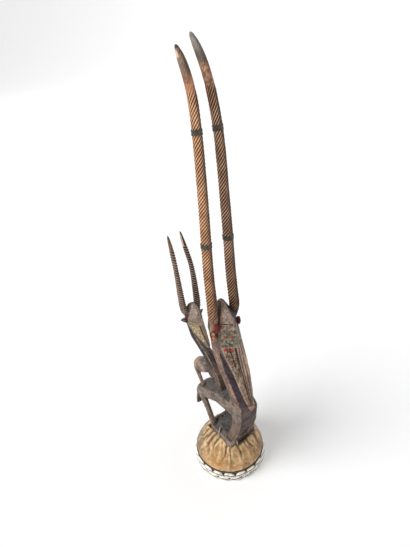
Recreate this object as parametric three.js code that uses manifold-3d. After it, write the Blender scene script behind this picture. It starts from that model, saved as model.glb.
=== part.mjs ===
// Antelope headdress: a doe with her kid on her back, carved from one block with a plinth,
// lashed to a gathered hide cap whose rim carries two rows of cowrie shells.
// Millimetres, +Z up. The animals look along +X; the carving is symmetric about the XZ plane.
import * as THREE from 'three';
import Module from 'manifold-3d';
import { mergeVertices } from 'three/addons/utils/BufferGeometryUtils.js';

const wasm = await Module();
wasm.setup();

// Cap: a hide cushion gathered over a hollow dome
const rimRadius = 74.5; // outside of the hide behind the shells
const rimSwell = 3.5; // the hide swells out over the rim by this
const capHeight = 85; // floor to the top of the cushion
const capWall = 8; // hide, padding and basketry together
const capAside = -3; // the cap's middle stands this far to the animals' right
const rimHeight = 27; // upright part that carries the shells
const cushionLean = 6; // the cushion's top stands this far forward of its rim
const pleatCount = 17; // gathers that run in to the plinth
const pleatDepth = 3.2;
const fit = 0.3; // air left between touching pieces

// Rim: a dark band with shells and a cord on top
const bandThickness = 1.6;
const bandTop = 24.5;
const cordRadius = 1.2;
const shellCount = 19; // in each of the two rows
const shellLength = 23;
const shellHeight = 11.5;
const shellDepth = 5;
const shellBack = 0.3; // a shell's flat back is this share of its depth behind its middle
const upperRowHeight = 18; // middle of the upper row of shells above the floor
const lowerRowHeight = 6.1;

// Plinth: part of the carving, sunk into the cushion
const plinthLength = 79;
const plinthWidth = 72;
const plinthThickness = 17;
const plinthForward = 6.5; // plinth centre ahead of the cap's centre
const plinthAboveCap = 11; // top of the plinth over the top of the cushion
const plinthCorner = 20; // radius of the rear corners
const holeRadius = 2.6;
const sideHoleInset = 11; // side holes in from the plinth's long edges
const rearHoleInset = 9; // rear holes in from its rounded end
const rearHoleSpread = 16; // from the middle rear hole to those beside it
const frontHoleAside = -19; // a level hole in the front edge, on the animals' right
const frontHoleDrop = 5; // below the plinth's top
const lashRadius = 1.5; // cords that tie the plinth down
const lashDepth = 7; // how far a cord goes down its hole
const lashClear = 0.7; // air between a cord and the plinth that it bends over
const lashSlant = 8; // the side cords run this far forward on their way to the edge
const lashFoot = 83.8; // height at which they meet the hide

// Figure: everything above the plinth keeps its shares of this height
const figureHeight = 768; // plinth top to the tips of the doe's horns
const ribHalfWidth = 2; // of the rib down each face
const notchHalfWidth = 14; // opening between the doe's forelegs
const notchHeight = 43;

// Horns: radius at the root and at the tip end, and the rope-like carving
const hornRoot = 10.3;
const hornTop = 7.7;
const kidHornRoot = 8;
const kidHornTop = 4.9;
const fluteDepth = 1.1;
const bandHeight = 8; // dark bands on the doe's horns
const hornBandWall = 0.8;
const tuftSize = [6, 4, 9]; // half sizes of the wool beside a horn
const bandPlaces = [460, 646]; // heights of the bands above the plinth

// Fittings on the heads
const sheetGauge = 0.8; // tin on the faces
const sheetGap = 1.3; // air behind it, measured along X
const ringRadius = 10; // copper ring on the doe's right ear
const ringWire = 1.5; // radius of its wire
const ringTurn = 0.25; // it stands turned this far from square to the ear

const capRadius = rimRadius + rimSwell;
const plinthTop = capHeight + plinthAboveCap;
const plinthBottom = plinthTop - plinthThickness;

const carved = { wood: 0x6f5f55, tin: 0x8f948a, brass: 0xa08a5a, iron: 0x3b3d3a };
function finish(color, roughness, metalness) {
  return new THREE.MeshStandardMaterial({ color, roughness, metalness });
}
const woodFinish = finish(carved.wood, 0.7, 0);
const tinFinish = finish(carved.tin, 0.45, 0.8);
const brassFinish = finish(carved.brass, 0.45, 0.8);
const ironFinish = finish(carved.iron, 0.6, 0.6);
const hideFinish = finish(0xb18b58, 0.75, 0);
const shellFinish = finish(0xe9e4d8, 0.3, 0);
const cordFinish = finish(0x2e2620, 0.9, 0);
const lashFinish = finish(0xc9b49a, 0.9, 0);
const copperFinish = finish(0xb5653a, 0.35, 0.9);
const woolFinish = finish(0x7c2028, 0.95, 0);

const group = new THREE.Group();

function addPiece(name, geometry, material) {
  const mesh = new THREE.Mesh(geometry, material);
  mesh.name = name;
  group.add(mesh);
  return mesh;
}

// Keeps position alone and welds the vertices that coincide
function weld(geometry, tolerance = 1e-4) {
  const plain = geometry.clone();
  plain.deleteAttribute('normal');
  plain.deleteAttribute('uv');
  return mergeVertices(plain, tolerance);
}

function signedVolume(geometry) {
  const p = geometry.attributes.position;
  const index = geometry.index.array;
  const a = new THREE.Vector3();
  const b = new THREE.Vector3();
  const c = new THREE.Vector3();
  let sum = 0;
  for (let i = 0; i < index.length; i += 3) {
    a.fromBufferAttribute(p, index[i]);
    b.fromBufferAttribute(p, index[i + 1]);
    c.fromBufferAttribute(p, index[i + 2]);
    sum += a.dot(b.cross(c));
  }
  return sum / 6;
}

// Turns every triangle round if the surface faces inward
function faceOut(geometry) {
  if (signedVolume(geometry) < 0) {
    const index = geometry.index.array;
    for (let i = 0; i < index.length; i += 3) {
      [index[i], index[i + 1]] = [index[i + 1], index[i]];
    }
  }
  return geometry;
}

// Skins a row of closed rings of points, with a fan over each end ring
function skin(rings) {
  const sides = rings[0].length;
  const rows = rings.length - 1;
  const shape = weld(new THREE.CylinderGeometry(1, 1, 1, sides, rows), 1e-3);
  const p = shape.attributes.position;
  for (let i = 0; i < p.count; i += 1) {
    const ring = rings[Math.round((0.5 - p.getY(i)) * rows)];
    const reach = Math.hypot(p.getX(i), p.getZ(i));
    if (reach < 0.5) {
      const middle = new THREE.Vector3();
      ring.forEach((point) => middle.addScaledVector(point, 1 / sides));
      p.setXYZ(i, middle.x, middle.y, middle.z);
    } else {
      const turn = Math.atan2(p.getX(i), p.getZ(i)) / (2 * Math.PI);
      const point = ring[(Math.round(turn * sides) + sides) % sides];
      p.setXYZ(i, point.x, point.y, point.z);
    }
  }
  return faceOut(shape);
}

function toSolid(geometry) {
  const shape = weld(geometry);
  return new wasm.Manifold(new wasm.Mesh({
    numProp: 3,
    vertProperties: new Float32Array(shape.attributes.position.array),
    triVerts: new Uint32Array(shape.index.array),
  }));
}

function toGeometry(solid) {
  const mesh = solid.getMesh();
  const geometry = new THREE.BufferGeometry();
  geometry.setAttribute('position', new THREE.BufferAttribute(mesh.vertProperties, 3));
  geometry.setIndex(new THREE.BufferAttribute(mesh.triVerts, 1));
  return geometry;
}

// A point of the figure, in the tables' own millimetres from the middle of the plinth's top
function at(x, y, z) {
  return new THREE.Vector3(x * share, y * share, plinthTop + z * share);
}

// A squared oval ring across a limb in the XZ plane. lean is the limb's direction from the
// vertical towards +X, wide and deep are half sizes, and narrow pinches the side behind.
function limbRing({ x, z, y = 0, lean = 0, wide, deep, power = 2.6, narrow = 0 }, sides) {
  const ring = [];
  for (let i = 0; i < sides; i += 1) {
    const angle = ((i + 0.5) / sides) * 2 * Math.PI;
    const c = Math.cos(angle);
    const s = Math.sin(angle);
    const reach = (Math.abs(c) ** power + Math.abs(s) ** power) ** (-1 / power);
    const ahead = c * reach;
    const across = s * reach * (1 - (narrow * (1 - ahead)) / 2);
    ring.push(at(
      x + ahead * deep * Math.cos(lean),
      y + across * wide,
      z - ahead * deep * Math.sin(lean),
    ));
  }
  return ring;
}

// A limb through stations given from its lower end to its upper end
function limb(stations, sides = 12) {
  return skin(stations.map((station) => limbRing(station, sides)));
}

// Mirrors a solid across the XZ plane
function mirrored(geometry) {
  const copy = geometry.clone();
  const p = copy.attributes.position;
  for (let i = 0; i < p.count; i += 1) {
    p.setY(i, -p.getY(i));
  }
  return faceOut(copy);
}

// Trunk rings stand across X: [x, middle z, half height, half width]
function trunk(stations, power, sides) {
  return skin(stations.map(([x, z, high, wide]) => limbRing(
    { x, z, lean: Math.PI / 2, wide, deep: high, power },
    sides,
  )));
}

// A head is a prism of level rings with a ridge down the face, raised to a narrow rib:
// [z, ridge x, cheek x, cheek half width, back x, back half width, rib height]
function headRing([z, ridge, cheek, wide, back, backWide, rib = 0]) {
  const beside = ribHalfWidth / wide;
  const half = [
    [ridge - rib - (ridge - cheek) * beside, ribHalfWidth],
    [cheek, wide],
    [(cheek + back) / 2, (wide + backWide) / 2 + 0.12 * wide],
    [back + 0.12 * (cheek - back), backWide],
  ];
  return [
    at(ridge, 0, z),
    ...half.map(([x, y]) => at(x, y, z)),
    at(back, 0, z),
    ...half.reverse().map(([x, y]) => at(x, -y, z)),
  ];
}

const doeHead = [
  [341, 6, 2, 3, -8, 3],
  [331, 16, 6, 8, -17, 6.5],
  [312, 33, 13, 17, -27, 14],
  [294, 37.5, 13.5, 22.5, -33, 17],
  [270, 39.5, 16, 26, -36, 18],
  [253, 40, 21, 26, -33, 17],
  [238, 43.5, 28, 25, -20, 16],
  [226, 46.5, 34.5, 23.5, 4, 14, 1.2],
  [208, 51, 43.5, 21.5, 24, 12, 1.6],
  [184, 58.5, 54.5, 18.5, 40, 10.5, 1.6],
  [160, 65.5, 62, 15.5, 50, 9, 1.4],
  [134, 73.5, 71, 11, 61, 7, 1],
  [122, 78.5, 76.5, 8.5, 69, 5, 0.6],
  [114, 80.5, 79, 6.5, 73, 4],
  [111, 80, 79, 4.5, 75.5, 3],
];

const kidHead = [
  [280, -100, -103, 3, -109, 3],
  [275, -93, -100, 6.5, -116, 6],
  [262, -85, -98, 12.5, -122, 11],
  [247, -81, -100, 18, -126, 12],
  [236, -76, -98.5, 19, -127, 12, 1],
  [224, -70, -91, 17, -117, 11, 1],
  [212, -64, -78.5, 13, -96, 8, 1],
  [201, -59, -65.5, 8, -79, 6, 0.8],
  [191, -54, -57, 5, -67, 4, 0.5],
  [187, -55, -57, 3.5, -64, 3],
];

// Spine of a horn as [x, spread from the middle plane, z] from root to tip
const doeHorn = [
  [-2, 17, 284],
  [1, 22, 300],
  [2.5, 26, 319],
  [1, 25.5, 348],
  [-2.5, 25, 393],
  [-4.5, 24, 469],
  [-6.5, 22.3, 536],
  [-8.5, 21.3, 594],
  [-12, 20, 646],
  [-20, 17.6, 694],
  [-31, 16.2, 726],
  [-43, 15, 748],
  [-57, 13.5, 768],
];
// The tables are drawn with the horns at this height, and share fits them to the real one
const share = figureHeight / doeHorn[doeHorn.length - 1][2];
const leftHornRise = 7; // the doe's left horn stands this much higher at the tip, the right lower
const kidHorn = [
  [-108, 12, 252],
  [-113, 17.5, 268],
  [-116, 19, 294],
  [-119.5, 19.3, 330],
  [-124, 18.7, 360],
  [-132, 17, 386],
  [-140, 15.5, 408],
  [-147, 15, 429],
];

function hornCurve(spine, side, rise = 0) {
  const top = spine[spine.length - 1][2];
  const bottom = spine[0][2];
  return new THREE.CatmullRomCurve3(spine.map(([x, spread, z]) => {
    const upper = Math.max(0, (z - bottom) / (top - bottom) - 0.75) / 0.25;
    return at(x, side * spread, z + side * rise * upper);
  }));
}

// Radius along a horn, from 0 at the root to 1 at the tip
function hornRadius(t, { root, top, taperFrom, cone }) {
  const shaft = THREE.MathUtils.lerp(root, top, Math.min(t / taperFrom, 1));
  const end = Math.max(t - taperFrom, 0) / (1 - taperFrom);
  const base = THREE.MathUtils.lerp(0.8, 1, Math.min(t / cone, 1));
  return share * shaft * base * Math.sqrt(Math.max(1 - end ** 3.5, 0.15));
}

// A horn with spiral flutes between two places along it, smooth outside them
function horn(spine, side, cut) {
  const curve = hornCurve(spine, side, cut.rise);
  const sides = cut.starts * 2;
  const rings = [];
  for (let row = 0; row <= cut.rows; row += 1) {
    const t = row / cut.rows;
    const centre = curve.getPointAt(t);
    const ahead = curve.getTangentAt(t);
    const across = new THREE.Vector3(0, 1, 0).addScaledVector(ahead, -ahead.y).normalize();
    const other = new THREE.Vector3().crossVectors(ahead, across);
    const radius = hornRadius(t, cut);
    const groove = t > cut.fluted[0] && t < cut.fluted[1] ? fluteDepth * share : 0;
    const ring = [];
    for (let i = 0; i < sides; i += 1) {
      const angle = (i / sides) * 2 * Math.PI + cut.twist * t;
      const reach = radius - (i % 2) * groove;
      ring.push(centre.clone()
        .addScaledVector(across, Math.cos(angle) * reach)
        .addScaledVector(other, Math.sin(angle) * reach));
    }
    rings.push(ring);
  }
  return skin(rings);
}

const doeHornCut = {
  root: hornRoot, top: hornTop, taperFrom: 0.8, cone: 0.08, fluted: [0.07, 0.84],
  starts: 7, rows: 34, twist: 15.3, rise: leftHornRise,
};
const kidHornCut = {
  root: kidHornRoot, top: kidHornTop, taperFrom: 0.6, cone: 0.1, fluted: [0.1, 0.8],
  starts: 6, rows: 15, twist: 7.9, rise: 0,
};

// An ear: a small leaf from the side of the head out to its tip
function ear(root, tip, wide, thick) {
  const rings = [0, 0.35, 0.75, 1].map((t) => {
    const middle = root.map((value, axis) => THREE.MathUtils.lerp(value, tip[axis], t));
    const swell = Math.sin(Math.PI * (0.28 + 0.66 * t));
    return [0, 1, 2, 3, 4, 5].map((corner) => {
      const angle = (corner / 6) * 2 * Math.PI;
      return at(
        middle[0] + Math.cos(angle) * thick * swell,
        middle[1],
        middle[2] + Math.sin(angle) * wide * swell,
      );
    });
  });
  return skin(rings);
}

const doeEarRoot = [4, -18, 275];
const doeEarTip = [7, -36, 277];
const kidEarRoot = [-106, -12, 240];
const kidEarTip = [-111, -30, 246];

function plinthBlock(grow) {
  const halfLength = plinthLength / 2 + grow;
  const halfWidth = plinthWidth / 2 + grow;
  const outline = new THREE.Shape();
  outline.moveTo(-halfLength + plinthCorner, -halfWidth);
  outline.lineTo(halfLength, -halfWidth);
  outline.lineTo(halfLength, halfWidth);
  outline.lineTo(-halfLength + plinthCorner, halfWidth);
  outline.absarc(-halfLength + plinthCorner, halfWidth - plinthCorner, plinthCorner, Math.PI / 2, Math.PI);
  outline.absarc(-halfLength + plinthCorner, plinthCorner - halfWidth, plinthCorner, Math.PI, 1.5 * Math.PI);
  const block = new THREE.ExtrudeGeometry(outline, {
    depth: plinthThickness + grow, bevelEnabled: false, curveSegments: 4,
  });
  block.translate(plinthForward, 0, plinthTop - plinthThickness - grow);
  return block;
}

// Places of the lashing holes in the plinth, as [x, y]
const plinthRear = plinthForward - plinthLength / 2;
const plinthFront = plinthForward + plinthLength / 2;
const plinthSide = plinthWidth / 2;
const sideHoles = [-1, 1].map((side) => [-1, side * (plinthSide - sideHoleInset)]);
const rearHoles = [-1, 0, 1].map((side) => [plinthRear + rearHoleInset, side * rearHoleSpread]);

// The arched opening between the doe's forelegs, cut right through along X
function legNotch() {
  const outline = new THREE.Shape();
  outline.moveTo(-notchHalfWidth, -8);
  outline.lineTo(notchHalfWidth, -8);
  outline.lineTo(notchHalfWidth * 0.8, notchHeight * 0.7);
  outline.quadraticCurveTo(0, notchHeight * 1.3, -notchHalfWidth * 0.8, notchHeight * 0.7);
  const block = new THREE.ExtrudeGeometry(outline, { depth: 120, bevelEnabled: false, curveSegments: 4 });
  block.rotateX(Math.PI / 2);
  block.rotateZ(Math.PI / 2);
  block.scale(share, share, share);
  block.translate(-20 * share, 0, plinthTop);
  return block;
}

function carving() {
  let solid = toSolid(plinthBlock(0));
  const join = (geometry) => {
    solid = solid.add(toSolid(geometry));
  };
  const joinPair = (geometry) => {
    join(geometry);
    join(mirrored(geometry));
  };

  // Doe: trunk, drooping rump, neck, head, ears, horns and legs
  join(trunk([
    [-95, 45, 11, 16], [-88, 49, 18, 24], [-70, 58, 18.5, 28], [-45, 69, 16.5, 28],
    [-15, 82, 17, 26], [15, 85, 20, 26], [45, 90, 21, 25],
  ], 3, 12));
  join(limb([
    { x: -98, z: -4, wide: 20, deep: 3.5, lean: 0.1 },
    { x: -95, z: 14, wide: 22, deep: 5, lean: 0.1 },
    { x: -86, z: 40, wide: 24, deep: 9 },
    { x: -80, z: 58, wide: 22, deep: 12 },
  ], 12));
  let fore = toSolid(limb([
    { x: 34, z: -2, wide: 30, deep: 13.5, power: 5 },
    { x: 46, z: 30, wide: 28, deep: 13, power: 5 },
    { x: 52, z: 55, wide: 27, deep: 14, power: 5 },
    { x: 53, z: 80, wide: 26, deep: 17, power: 5 },
    { x: 51, z: 104, wide: 26.5, deep: 21, power: 5, lean: 0.1 },
    { x: 50, z: 112, wide: 24.5, deep: 20.5, power: 4.5, lean: 0.2 },
  ], 12));
  fore = fore.subtract(toSolid(legNotch()));
  solid = solid.add(fore);
  join(limb([
    { x: 56.5, z: 94.5, lean: -0.8, wide: 25, deep: 20.5, power: 5 },
    { x: 50.5, z: 102, lean: -0.8, wide: 24, deep: 22, power: 5 },
    { x: 41, z: 123, lean: -0.8, wide: 22, deep: 15, power: 5, narrow: 0.1 },
    { x: 21.6, z: 145.4, lean: -0.8, wide: 18.8, deep: 14, power: 5, narrow: 0.15 },
    { x: -0.9, z: 169.5, lean: -0.65, wide: 17, deep: 16, power: 5, narrow: 0.3 },
    { x: -15.8, z: 202, lean: -0.4, wide: 16, deep: 17.8, power: 5, narrow: 0.3 },
    { x: -20, z: 224, lean: -0.25, wide: 16, deep: 17, power: 4, narrow: 0.3 },
    { x: -25, z: 246, lean: -0.1, wide: 16, deep: 15, power: 4, narrow: 0.3 },
    { x: -24, z: 270, lean: 0, wide: 16, deep: 13, power: 3, narrow: 0.2 },
  ], 12));
  join(skin(doeHead.map(headRing)));
  joinPair(ear(doeEarRoot, doeEarTip, 7.5, 4.5));
  join(horn(doeHorn, -1, doeHornCut));
  join(horn(doeHorn, 1, doeHornCut));
  joinPair(limb([
    { x: -21.5, y: -28.5, z: -2, wide: 6, deep: 6.5, power: 4 },
    { x: -39, y: -27, z: 30, wide: 6, deep: 7.5, power: 4 },
    { x: -60, y: -25, z: 56, wide: 7, deep: 10, power: 4 },
    { x: -66, y: -21, z: 66, wide: 7, deep: 10, power: 4 },
  ], 8));

  // Kid: trunk, one limb from the forelegs up through chest and neck, head, ears, horns, hind legs
  join(trunk([
    [-112, 108, 9, 9], [-104, 111, 18, 14], [-86, 118, 20, 16],
    [-66, 129, 19, 15], [-50, 136, 15, 12], [-38, 139, 8, 8],
  ], 2.6, 12));
  join(limb([
    { x: -15.5, z: 84, wide: 9.5, deep: 7.5, power: 4 },
    { x: -20.5, z: 113, wide: 12, deep: 10, power: 4 },
    { x: -30, z: 133, lean: -0.5, wide: 12.5, deep: 11.5, power: 4 },
    { x: -46, z: 152, lean: -0.75, wide: 12, deep: 11.5, power: 4 },
    { x: -62, z: 166, lean: -0.85, wide: 11, deep: 11, power: 4, narrow: 0.1 },
    { x: -84, z: 179, lean: -0.9, wide: 10, deep: 11.5, power: 4, narrow: 0.2 },
    { x: -106, z: 194, lean: -0.7, wide: 9.5, deep: 13, power: 4, narrow: 0.2 },
    { x: -119, z: 222, lean: -0.4, wide: 10, deep: 12, power: 4, narrow: 0.2 },
    { x: -117, z: 244, lean: 0, wide: 9, deep: 9 },
  ], 12));
  join(skin(kidHead.map(headRing)));
  joinPair(ear(kidEarRoot, kidEarTip, 8, 4.5));
  join(horn(kidHorn, -1, kidHornCut));
  join(horn(kidHorn, 1, kidHornCut));
  joinPair(limb([
    { x: -64.5, y: -15, z: 68, wide: 3.8, deep: 4.8, power: 4 },
    { x: -82, y: -13.5, z: 88, wide: 4, deep: 5.5, power: 4 },
    { x: -99, y: -10.5, z: 108, wide: 5, deep: 8, power: 4 },
  ], 8));

  for (const [x, y] of [...sideHoles, ...rearHoles]) {
    const drill = new THREE.CylinderGeometry(holeRadius, holeRadius, plinthThickness * 2, 10);
    drill.rotateX(Math.PI / 2);
    drill.translate(x, y, plinthTop - plinthThickness / 2);
    solid = solid.subtract(toSolid(drill));
  }
  const level = new THREE.CylinderGeometry(holeRadius, holeRadius, 2 * lashDepth + 2, 10);
  level.rotateZ(Math.PI / 2);
  level.translate(plinthFront, frontHoleAside, plinthTop - frontHoleDrop);
  return solid.subtract(toSolid(level));
}

// The dome from the swell over the rim to its top: [share of capRadius, share of the dome's height]
const domeProfile = [
  [1, 0.06], [0.985, 0.17], [0.94, 0.31], [0.885, 0.45], [0.83, 0.58], [0.77, 0.7],
  [0.69, 0.83], [0.58, 0.92], [0.36, 0.985], [0.12, 1],
];

// A level ring round the cap's axis. Every second point is pulled in by the gather.
function capRing(radius, height, sides, gather = 0, lean = 0) {
  const ring = [];
  for (let i = 0; i < sides; i += 1) {
    const angle = (i / sides) * 2 * Math.PI;
    const reach = radius - (i % 2) * gather;
    ring.push(new THREE.Vector3(
      reach * Math.cos(angle) + lean,
      reach * Math.sin(angle) + capAside,
      height - (i % 2) * gather * 0.6,
    ));
  }
  return ring;
}

function cap() {
  const sides = pleatCount * 2;
  const outer = [capRing(rimRadius, 0, sides), capRing(rimRadius, rimHeight - 2, sides)];
  domeProfile.forEach(([out, up], row) => {
    const gather = pleatDepth * Math.min(row / 5, 1) * Math.min((9 - row) / 3, 1);
    const height = rimHeight + up * (capHeight - rimHeight);
    outer.push(capRing(out * capRadius, height, sides, Math.max(gather, 0), up * cushionLean));
  });
  const insideRadius = rimRadius - capWall;
  const insideTop = plinthBottom - capWall;
  const hollow = [capRing(insideRadius, -1, pleatCount)];
  for (let row = 0; row <= 5; row += 1) {
    const angle = (row / 5) * (Math.PI / 2) * 0.95;
    const height = 0.3 * insideTop + 0.7 * insideTop * Math.sin(angle);
    hollow.push(capRing(insideRadius * Math.cos(angle) ** 0.9, height, pleatCount));
  }
  return toSolid(skin(outer))
    .subtract(toSolid(skin(hollow)))
    .subtract(toSolid(plinthBlock(fit)));
}

// A ring of rectangular section round the rim
function rimBand() {
  const inner = rimRadius + fit;
  const outer = inner + bandThickness;
  const profile = [[inner, 0.5], [outer, 0.5], [outer, bandTop], [inner, bandTop], [inner, 0.5]];
  const ring = new THREE.LatheGeometry(profile.map(([x, y]) => new THREE.Vector2(x, y)), 36);
  ring.rotateX(Math.PI / 2);
  ring.translate(0, capAside, 0);
  return faceOut(weld(ring, 1e-3));
}

function rimCord() {
  const cord = new THREE.TorusGeometry(rimRadius + fit + bandThickness + cordRadius, cordRadius, 4, 28);
  cord.translate(0, capAside, bandTop + 2 * fit + cordRadius);
  return faceOut(weld(cord, 1e-3));
}

// A cowrie: a low dome, longer than high, with a flat back against the band
function cowrie(turn, height) {
  const shell = weld(new THREE.SphereGeometry(1, 6, 4), 1e-3);
  const p = shell.attributes.position;
  for (let i = 0; i < p.count; i += 1) {
    const out = (Math.max(p.getX(i), -shellBack) + shellBack) / (1 + shellBack);
    p.setXYZ(i, out * shellDepth, (p.getY(i) * shellLength) / 2, (p.getZ(i) * shellHeight) / 2);
  }
  shell.translate(rimRadius + 2 * fit + bandThickness, 0, height);
  shell.rotateZ(turn);
  shell.translate(0, capAside, 0);
  return faceOut(shell);
}

// A closed ring round a horn at a height above the plinth
function hornBand(side, height) {
  const curve = hornCurve(doeHorn, side, leftHornRise);
  let t = 0.5;
  for (let step = 0.25; step > 1e-4; step /= 2) {
    t += curve.getPointAt(t).z < plinthTop + height * share ? step : -step;
  }
  const sides = 12;
  const inner = (hornRadius(t, doeHornCut) + fit) / Math.cos(Math.PI / sides);
  const outer = inner + hornBandWall;
  const half = bandHeight / 2;
  const profile = [[inner, -half], [outer, -half], [outer, half], [inner, half], [inner, -half]];
  const ring = new THREE.LatheGeometry(profile.map(([x, y]) => new THREE.Vector2(x, y)), sides);
  const upright = new THREE.Vector3(0, 1, 0);
  ring.applyQuaternion(new THREE.Quaternion().setFromUnitVectors(upright, curve.getTangentAt(t)));
  const centre = curve.getPointAt(t);
  ring.translate(centre.x, centre.y, centre.z);
  return faceOut(weld(ring, 1e-3));
}

// Row of a head's table at a height
function headRow(head, z) {
  const k = head.findIndex((row) => row[0] <= z);
  const [above, below] = [head[k - 1], head[k]];
  const t = (above[0] - z) / (above[0] - below[0]);
  return above.map((value, i) => THREE.MathUtils.lerp(value ?? 0, below[i] ?? 0, t));
}

// A point over a face: u runs from -1 at the animal's right cheek over the ridge to 1
function facePoint(head, z, u, lift) {
  const [, ridge, cheek, wide, , , rib = 0] = headRow(head, z);
  const beside = Math.abs(u);
  const foot = ribHalfWidth / wide;
  const drop = beside < foot ? beside / foot : (1 - beside) / (1 - foot);
  const x = ridge - rib * drop - (ridge - cheek) * beside;
  return at(x + lift, u * wide, z);
}

// A sheet bent over a face, through rows of [z, first u, last u] from its top to its bottom
function faceSheet(head, rows) {
  const stopsOf = ([, from, to]) => {
    const overRidge = [from, from / 2, 0, to / 2, to];
    return to > 0 ? overRidge : [from, (from + to) / 2, to];
  };
  const columns = stopsOf(rows[0]).length - 1;
  const sheet = weld(new THREE.BoxGeometry(1, 1, 1, columns, rows.length - 1, 1), 1e-3);
  const p = sheet.attributes.position;
  for (let i = 0; i < p.count; i += 1) {
    const row = rows[Math.round((0.5 - p.getY(i)) * (rows.length - 1))];
    const u = stopsOf(row)[Math.round((p.getX(i) + 0.5) * columns)];
    const lift = sheetGap + (p.getZ(i) > 0 ? sheetGauge : 0);
    const point = facePoint(head, row[0], u, lift);
    p.setXYZ(i, point.x, point.y, point.z);
  }
  return faceOut(sheet);
}

// A cord through the points of a path, closed at both ends
function cordAlong(points, radius) {
  const stops = points.map((point) => new THREE.Vector3(...point));
  const path = new THREE.CatmullRomCurve3(stops, false, 'catmullrom', 0.2);
  const steps = 8;
  const sides = 5;
  const frames = path.computeFrenetFrames(steps, false);
  const rings = [];
  for (let i = 0; i <= steps; i += 1) {
    const centre = path.getPointAt(i / steps);
    const ring = [];
    for (let k = 0; k < sides; k += 1) {
      const angle = (k / sides) * 2 * Math.PI;
      ring.push(centre.clone()
        .addScaledVector(frames.normals[i], Math.cos(angle) * radius)
        .addScaledVector(frames.binormals[i], Math.sin(angle) * radius));
    }
    rings.push(ring);
  }
  return skin(rings);
}

// A lashing from its hole over the plinth's edge and down to the hide
function lashing([x, y], [edgeX, edgeY]) {
  const clear = lashRadius + lashClear;
  const over = plinthTop + clear + 0.5;
  const out = new THREE.Vector2(edgeX - x, edgeY - y).normalize();
  const offX = Math.abs(edgeX) > Math.abs(edgeY) ? Math.sign(edgeX) * clear : 0;
  const offY = offX === 0 ? Math.sign(edgeY) * clear : 0;
  return cordAlong([
    [x, y, plinthTop - lashDepth],
    [x, y, plinthTop + 0.5],
    [x + out.x * clear, y + out.y * clear, over],
    [edgeX, edgeY, over],
    [edgeX + offX, edgeY + offY, plinthTop - 1],
    [edgeX + offX, edgeY + offY, lashFoot],
  ], lashRadius);
}

// The short cord out of the plinth's front edge and down to the hide
function frontLashing() {
  const outside = plinthFront + lashRadius + lashClear + fit;
  const level = plinthTop - frontHoleDrop;
  return cordAlong([
    [plinthFront - lashDepth, frontHoleAside, level],
    [plinthFront + fit, frontHoleAside, level],
    [outside, frontHoleAside, level - 1],
    [outside, frontHoleAside, lashFoot],
  ], lashRadius);
}

// The copper ring round the right ear
function earRing() {
  const ring = new THREE.TorusGeometry(ringRadius, ringWire, 4, 12);
  ring.rotateX(Math.PI / 2);
  ring.rotateZ(-ringTurn);
  const place = at(8, -33, 277);
  ring.translate(place.x, place.y, place.z);
  return faceOut(weld(ring, 1e-3));
}

// A tuft of wool beside a horn's root
function tuft(place) {
  const wool = weld(new THREE.SphereGeometry(1, 7, 5), 1e-3);
  wool.rotateX(Math.PI / 2);
  wool.scale(...tuftSize);
  wool.translate(place.x, place.y, place.z);
  return faceOut(wool);
}

addPiece('carved_figure', toGeometry(carving()), woodFinish);
addPiece('hide_cap', toGeometry(cap()), hideFinish);
addPiece('rim_band', rimBand(), cordFinish);
addPiece('rim_cord', rimCord(), cordFinish);
for (let i = 0; i < shellCount; i += 1) {
  const turn = ((i - 0.15) / shellCount) * 2 * Math.PI;
  const halfTurn = turn + Math.PI / shellCount;
  addPiece(`cowrie_upper_${i + 1}`, cowrie(turn, upperRowHeight), shellFinish);
  addPiece(`cowrie_lower_${i + 1}`, cowrie(halfTurn, lowerRowHeight), shellFinish);
}
const tuftPlaces = { right: at(15, -27.5, 297), left: at(14.5, 27.8, 295) };
for (const [word, side] of [['right', -1], ['left', 1]]) {
  addPiece(`horn_band_${word}_lower`, hornBand(side, bandPlaces[0]), ironFinish);
  addPiece(`horn_band_${word}_upper`, hornBand(side, bandPlaces[1]), ironFinish);
  addPiece(`wool_tuft_${word}`, tuft(tuftPlaces[word]), woolFinish);
}
addPiece('ear_ring', earRing(), copperFinish);
// Rows of the sheets: [height, first u, last u]
const browRows = [[308, -0.97, 0.12], [294, -0.97, 0.35], [283, -0.97, 0.5]];
const noseRows = [[281, -0.97, 0.52], [270, -0.97, 0.68], [258, -0.97, 0.85], [253, -0.97, 0.9]];
const stripRows = [
  [251, -0.88, -0.3], [238, -0.86, -0.3], [226, -0.83, -0.31], [208, -0.76, -0.34],
  [184, -0.6, -0.38], [174, -0.5, -0.42],
];
const kidRows = [[235, -0.96, -0.22], [224, -0.93, -0.24], [212, -0.9, -0.28], [201, -0.85, -0.38]];
addPiece('brow_plate', faceSheet(doeHead, browRows), tinFinish);
addPiece('nose_plate', faceSheet(doeHead, noseRows), tinFinish);
addPiece('nose_strip', faceSheet(doeHead, stripRows), tinFinish);
addPiece('kid_face_plate', faceSheet(kidHead, kidRows), brassFinish);
addPiece('side_lashing_right', lashing(sideHoles[0], [lashSlant, -plinthSide]), lashFinish);
addPiece('side_lashing_left', lashing(sideHoles[1], [lashSlant, plinthSide]), lashFinish);
addPiece('front_lashing', frontLashing(), lashFinish);

// The frame stands on the middle of the underside of the whole
const box = new THREE.Box3().setFromObject(group);
const middle = box.getCenter(new THREE.Vector3());
for (const piece of group.children) {
  piece.geometry.translate(-middle.x, -middle.y, -box.min.z);
}

export default group;
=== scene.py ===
# Antelope headdress: the carving, its fittings and the gathered cap, dressed round the packed
# frame. The tables give lengths in mm and colours in sRGB
import math

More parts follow.
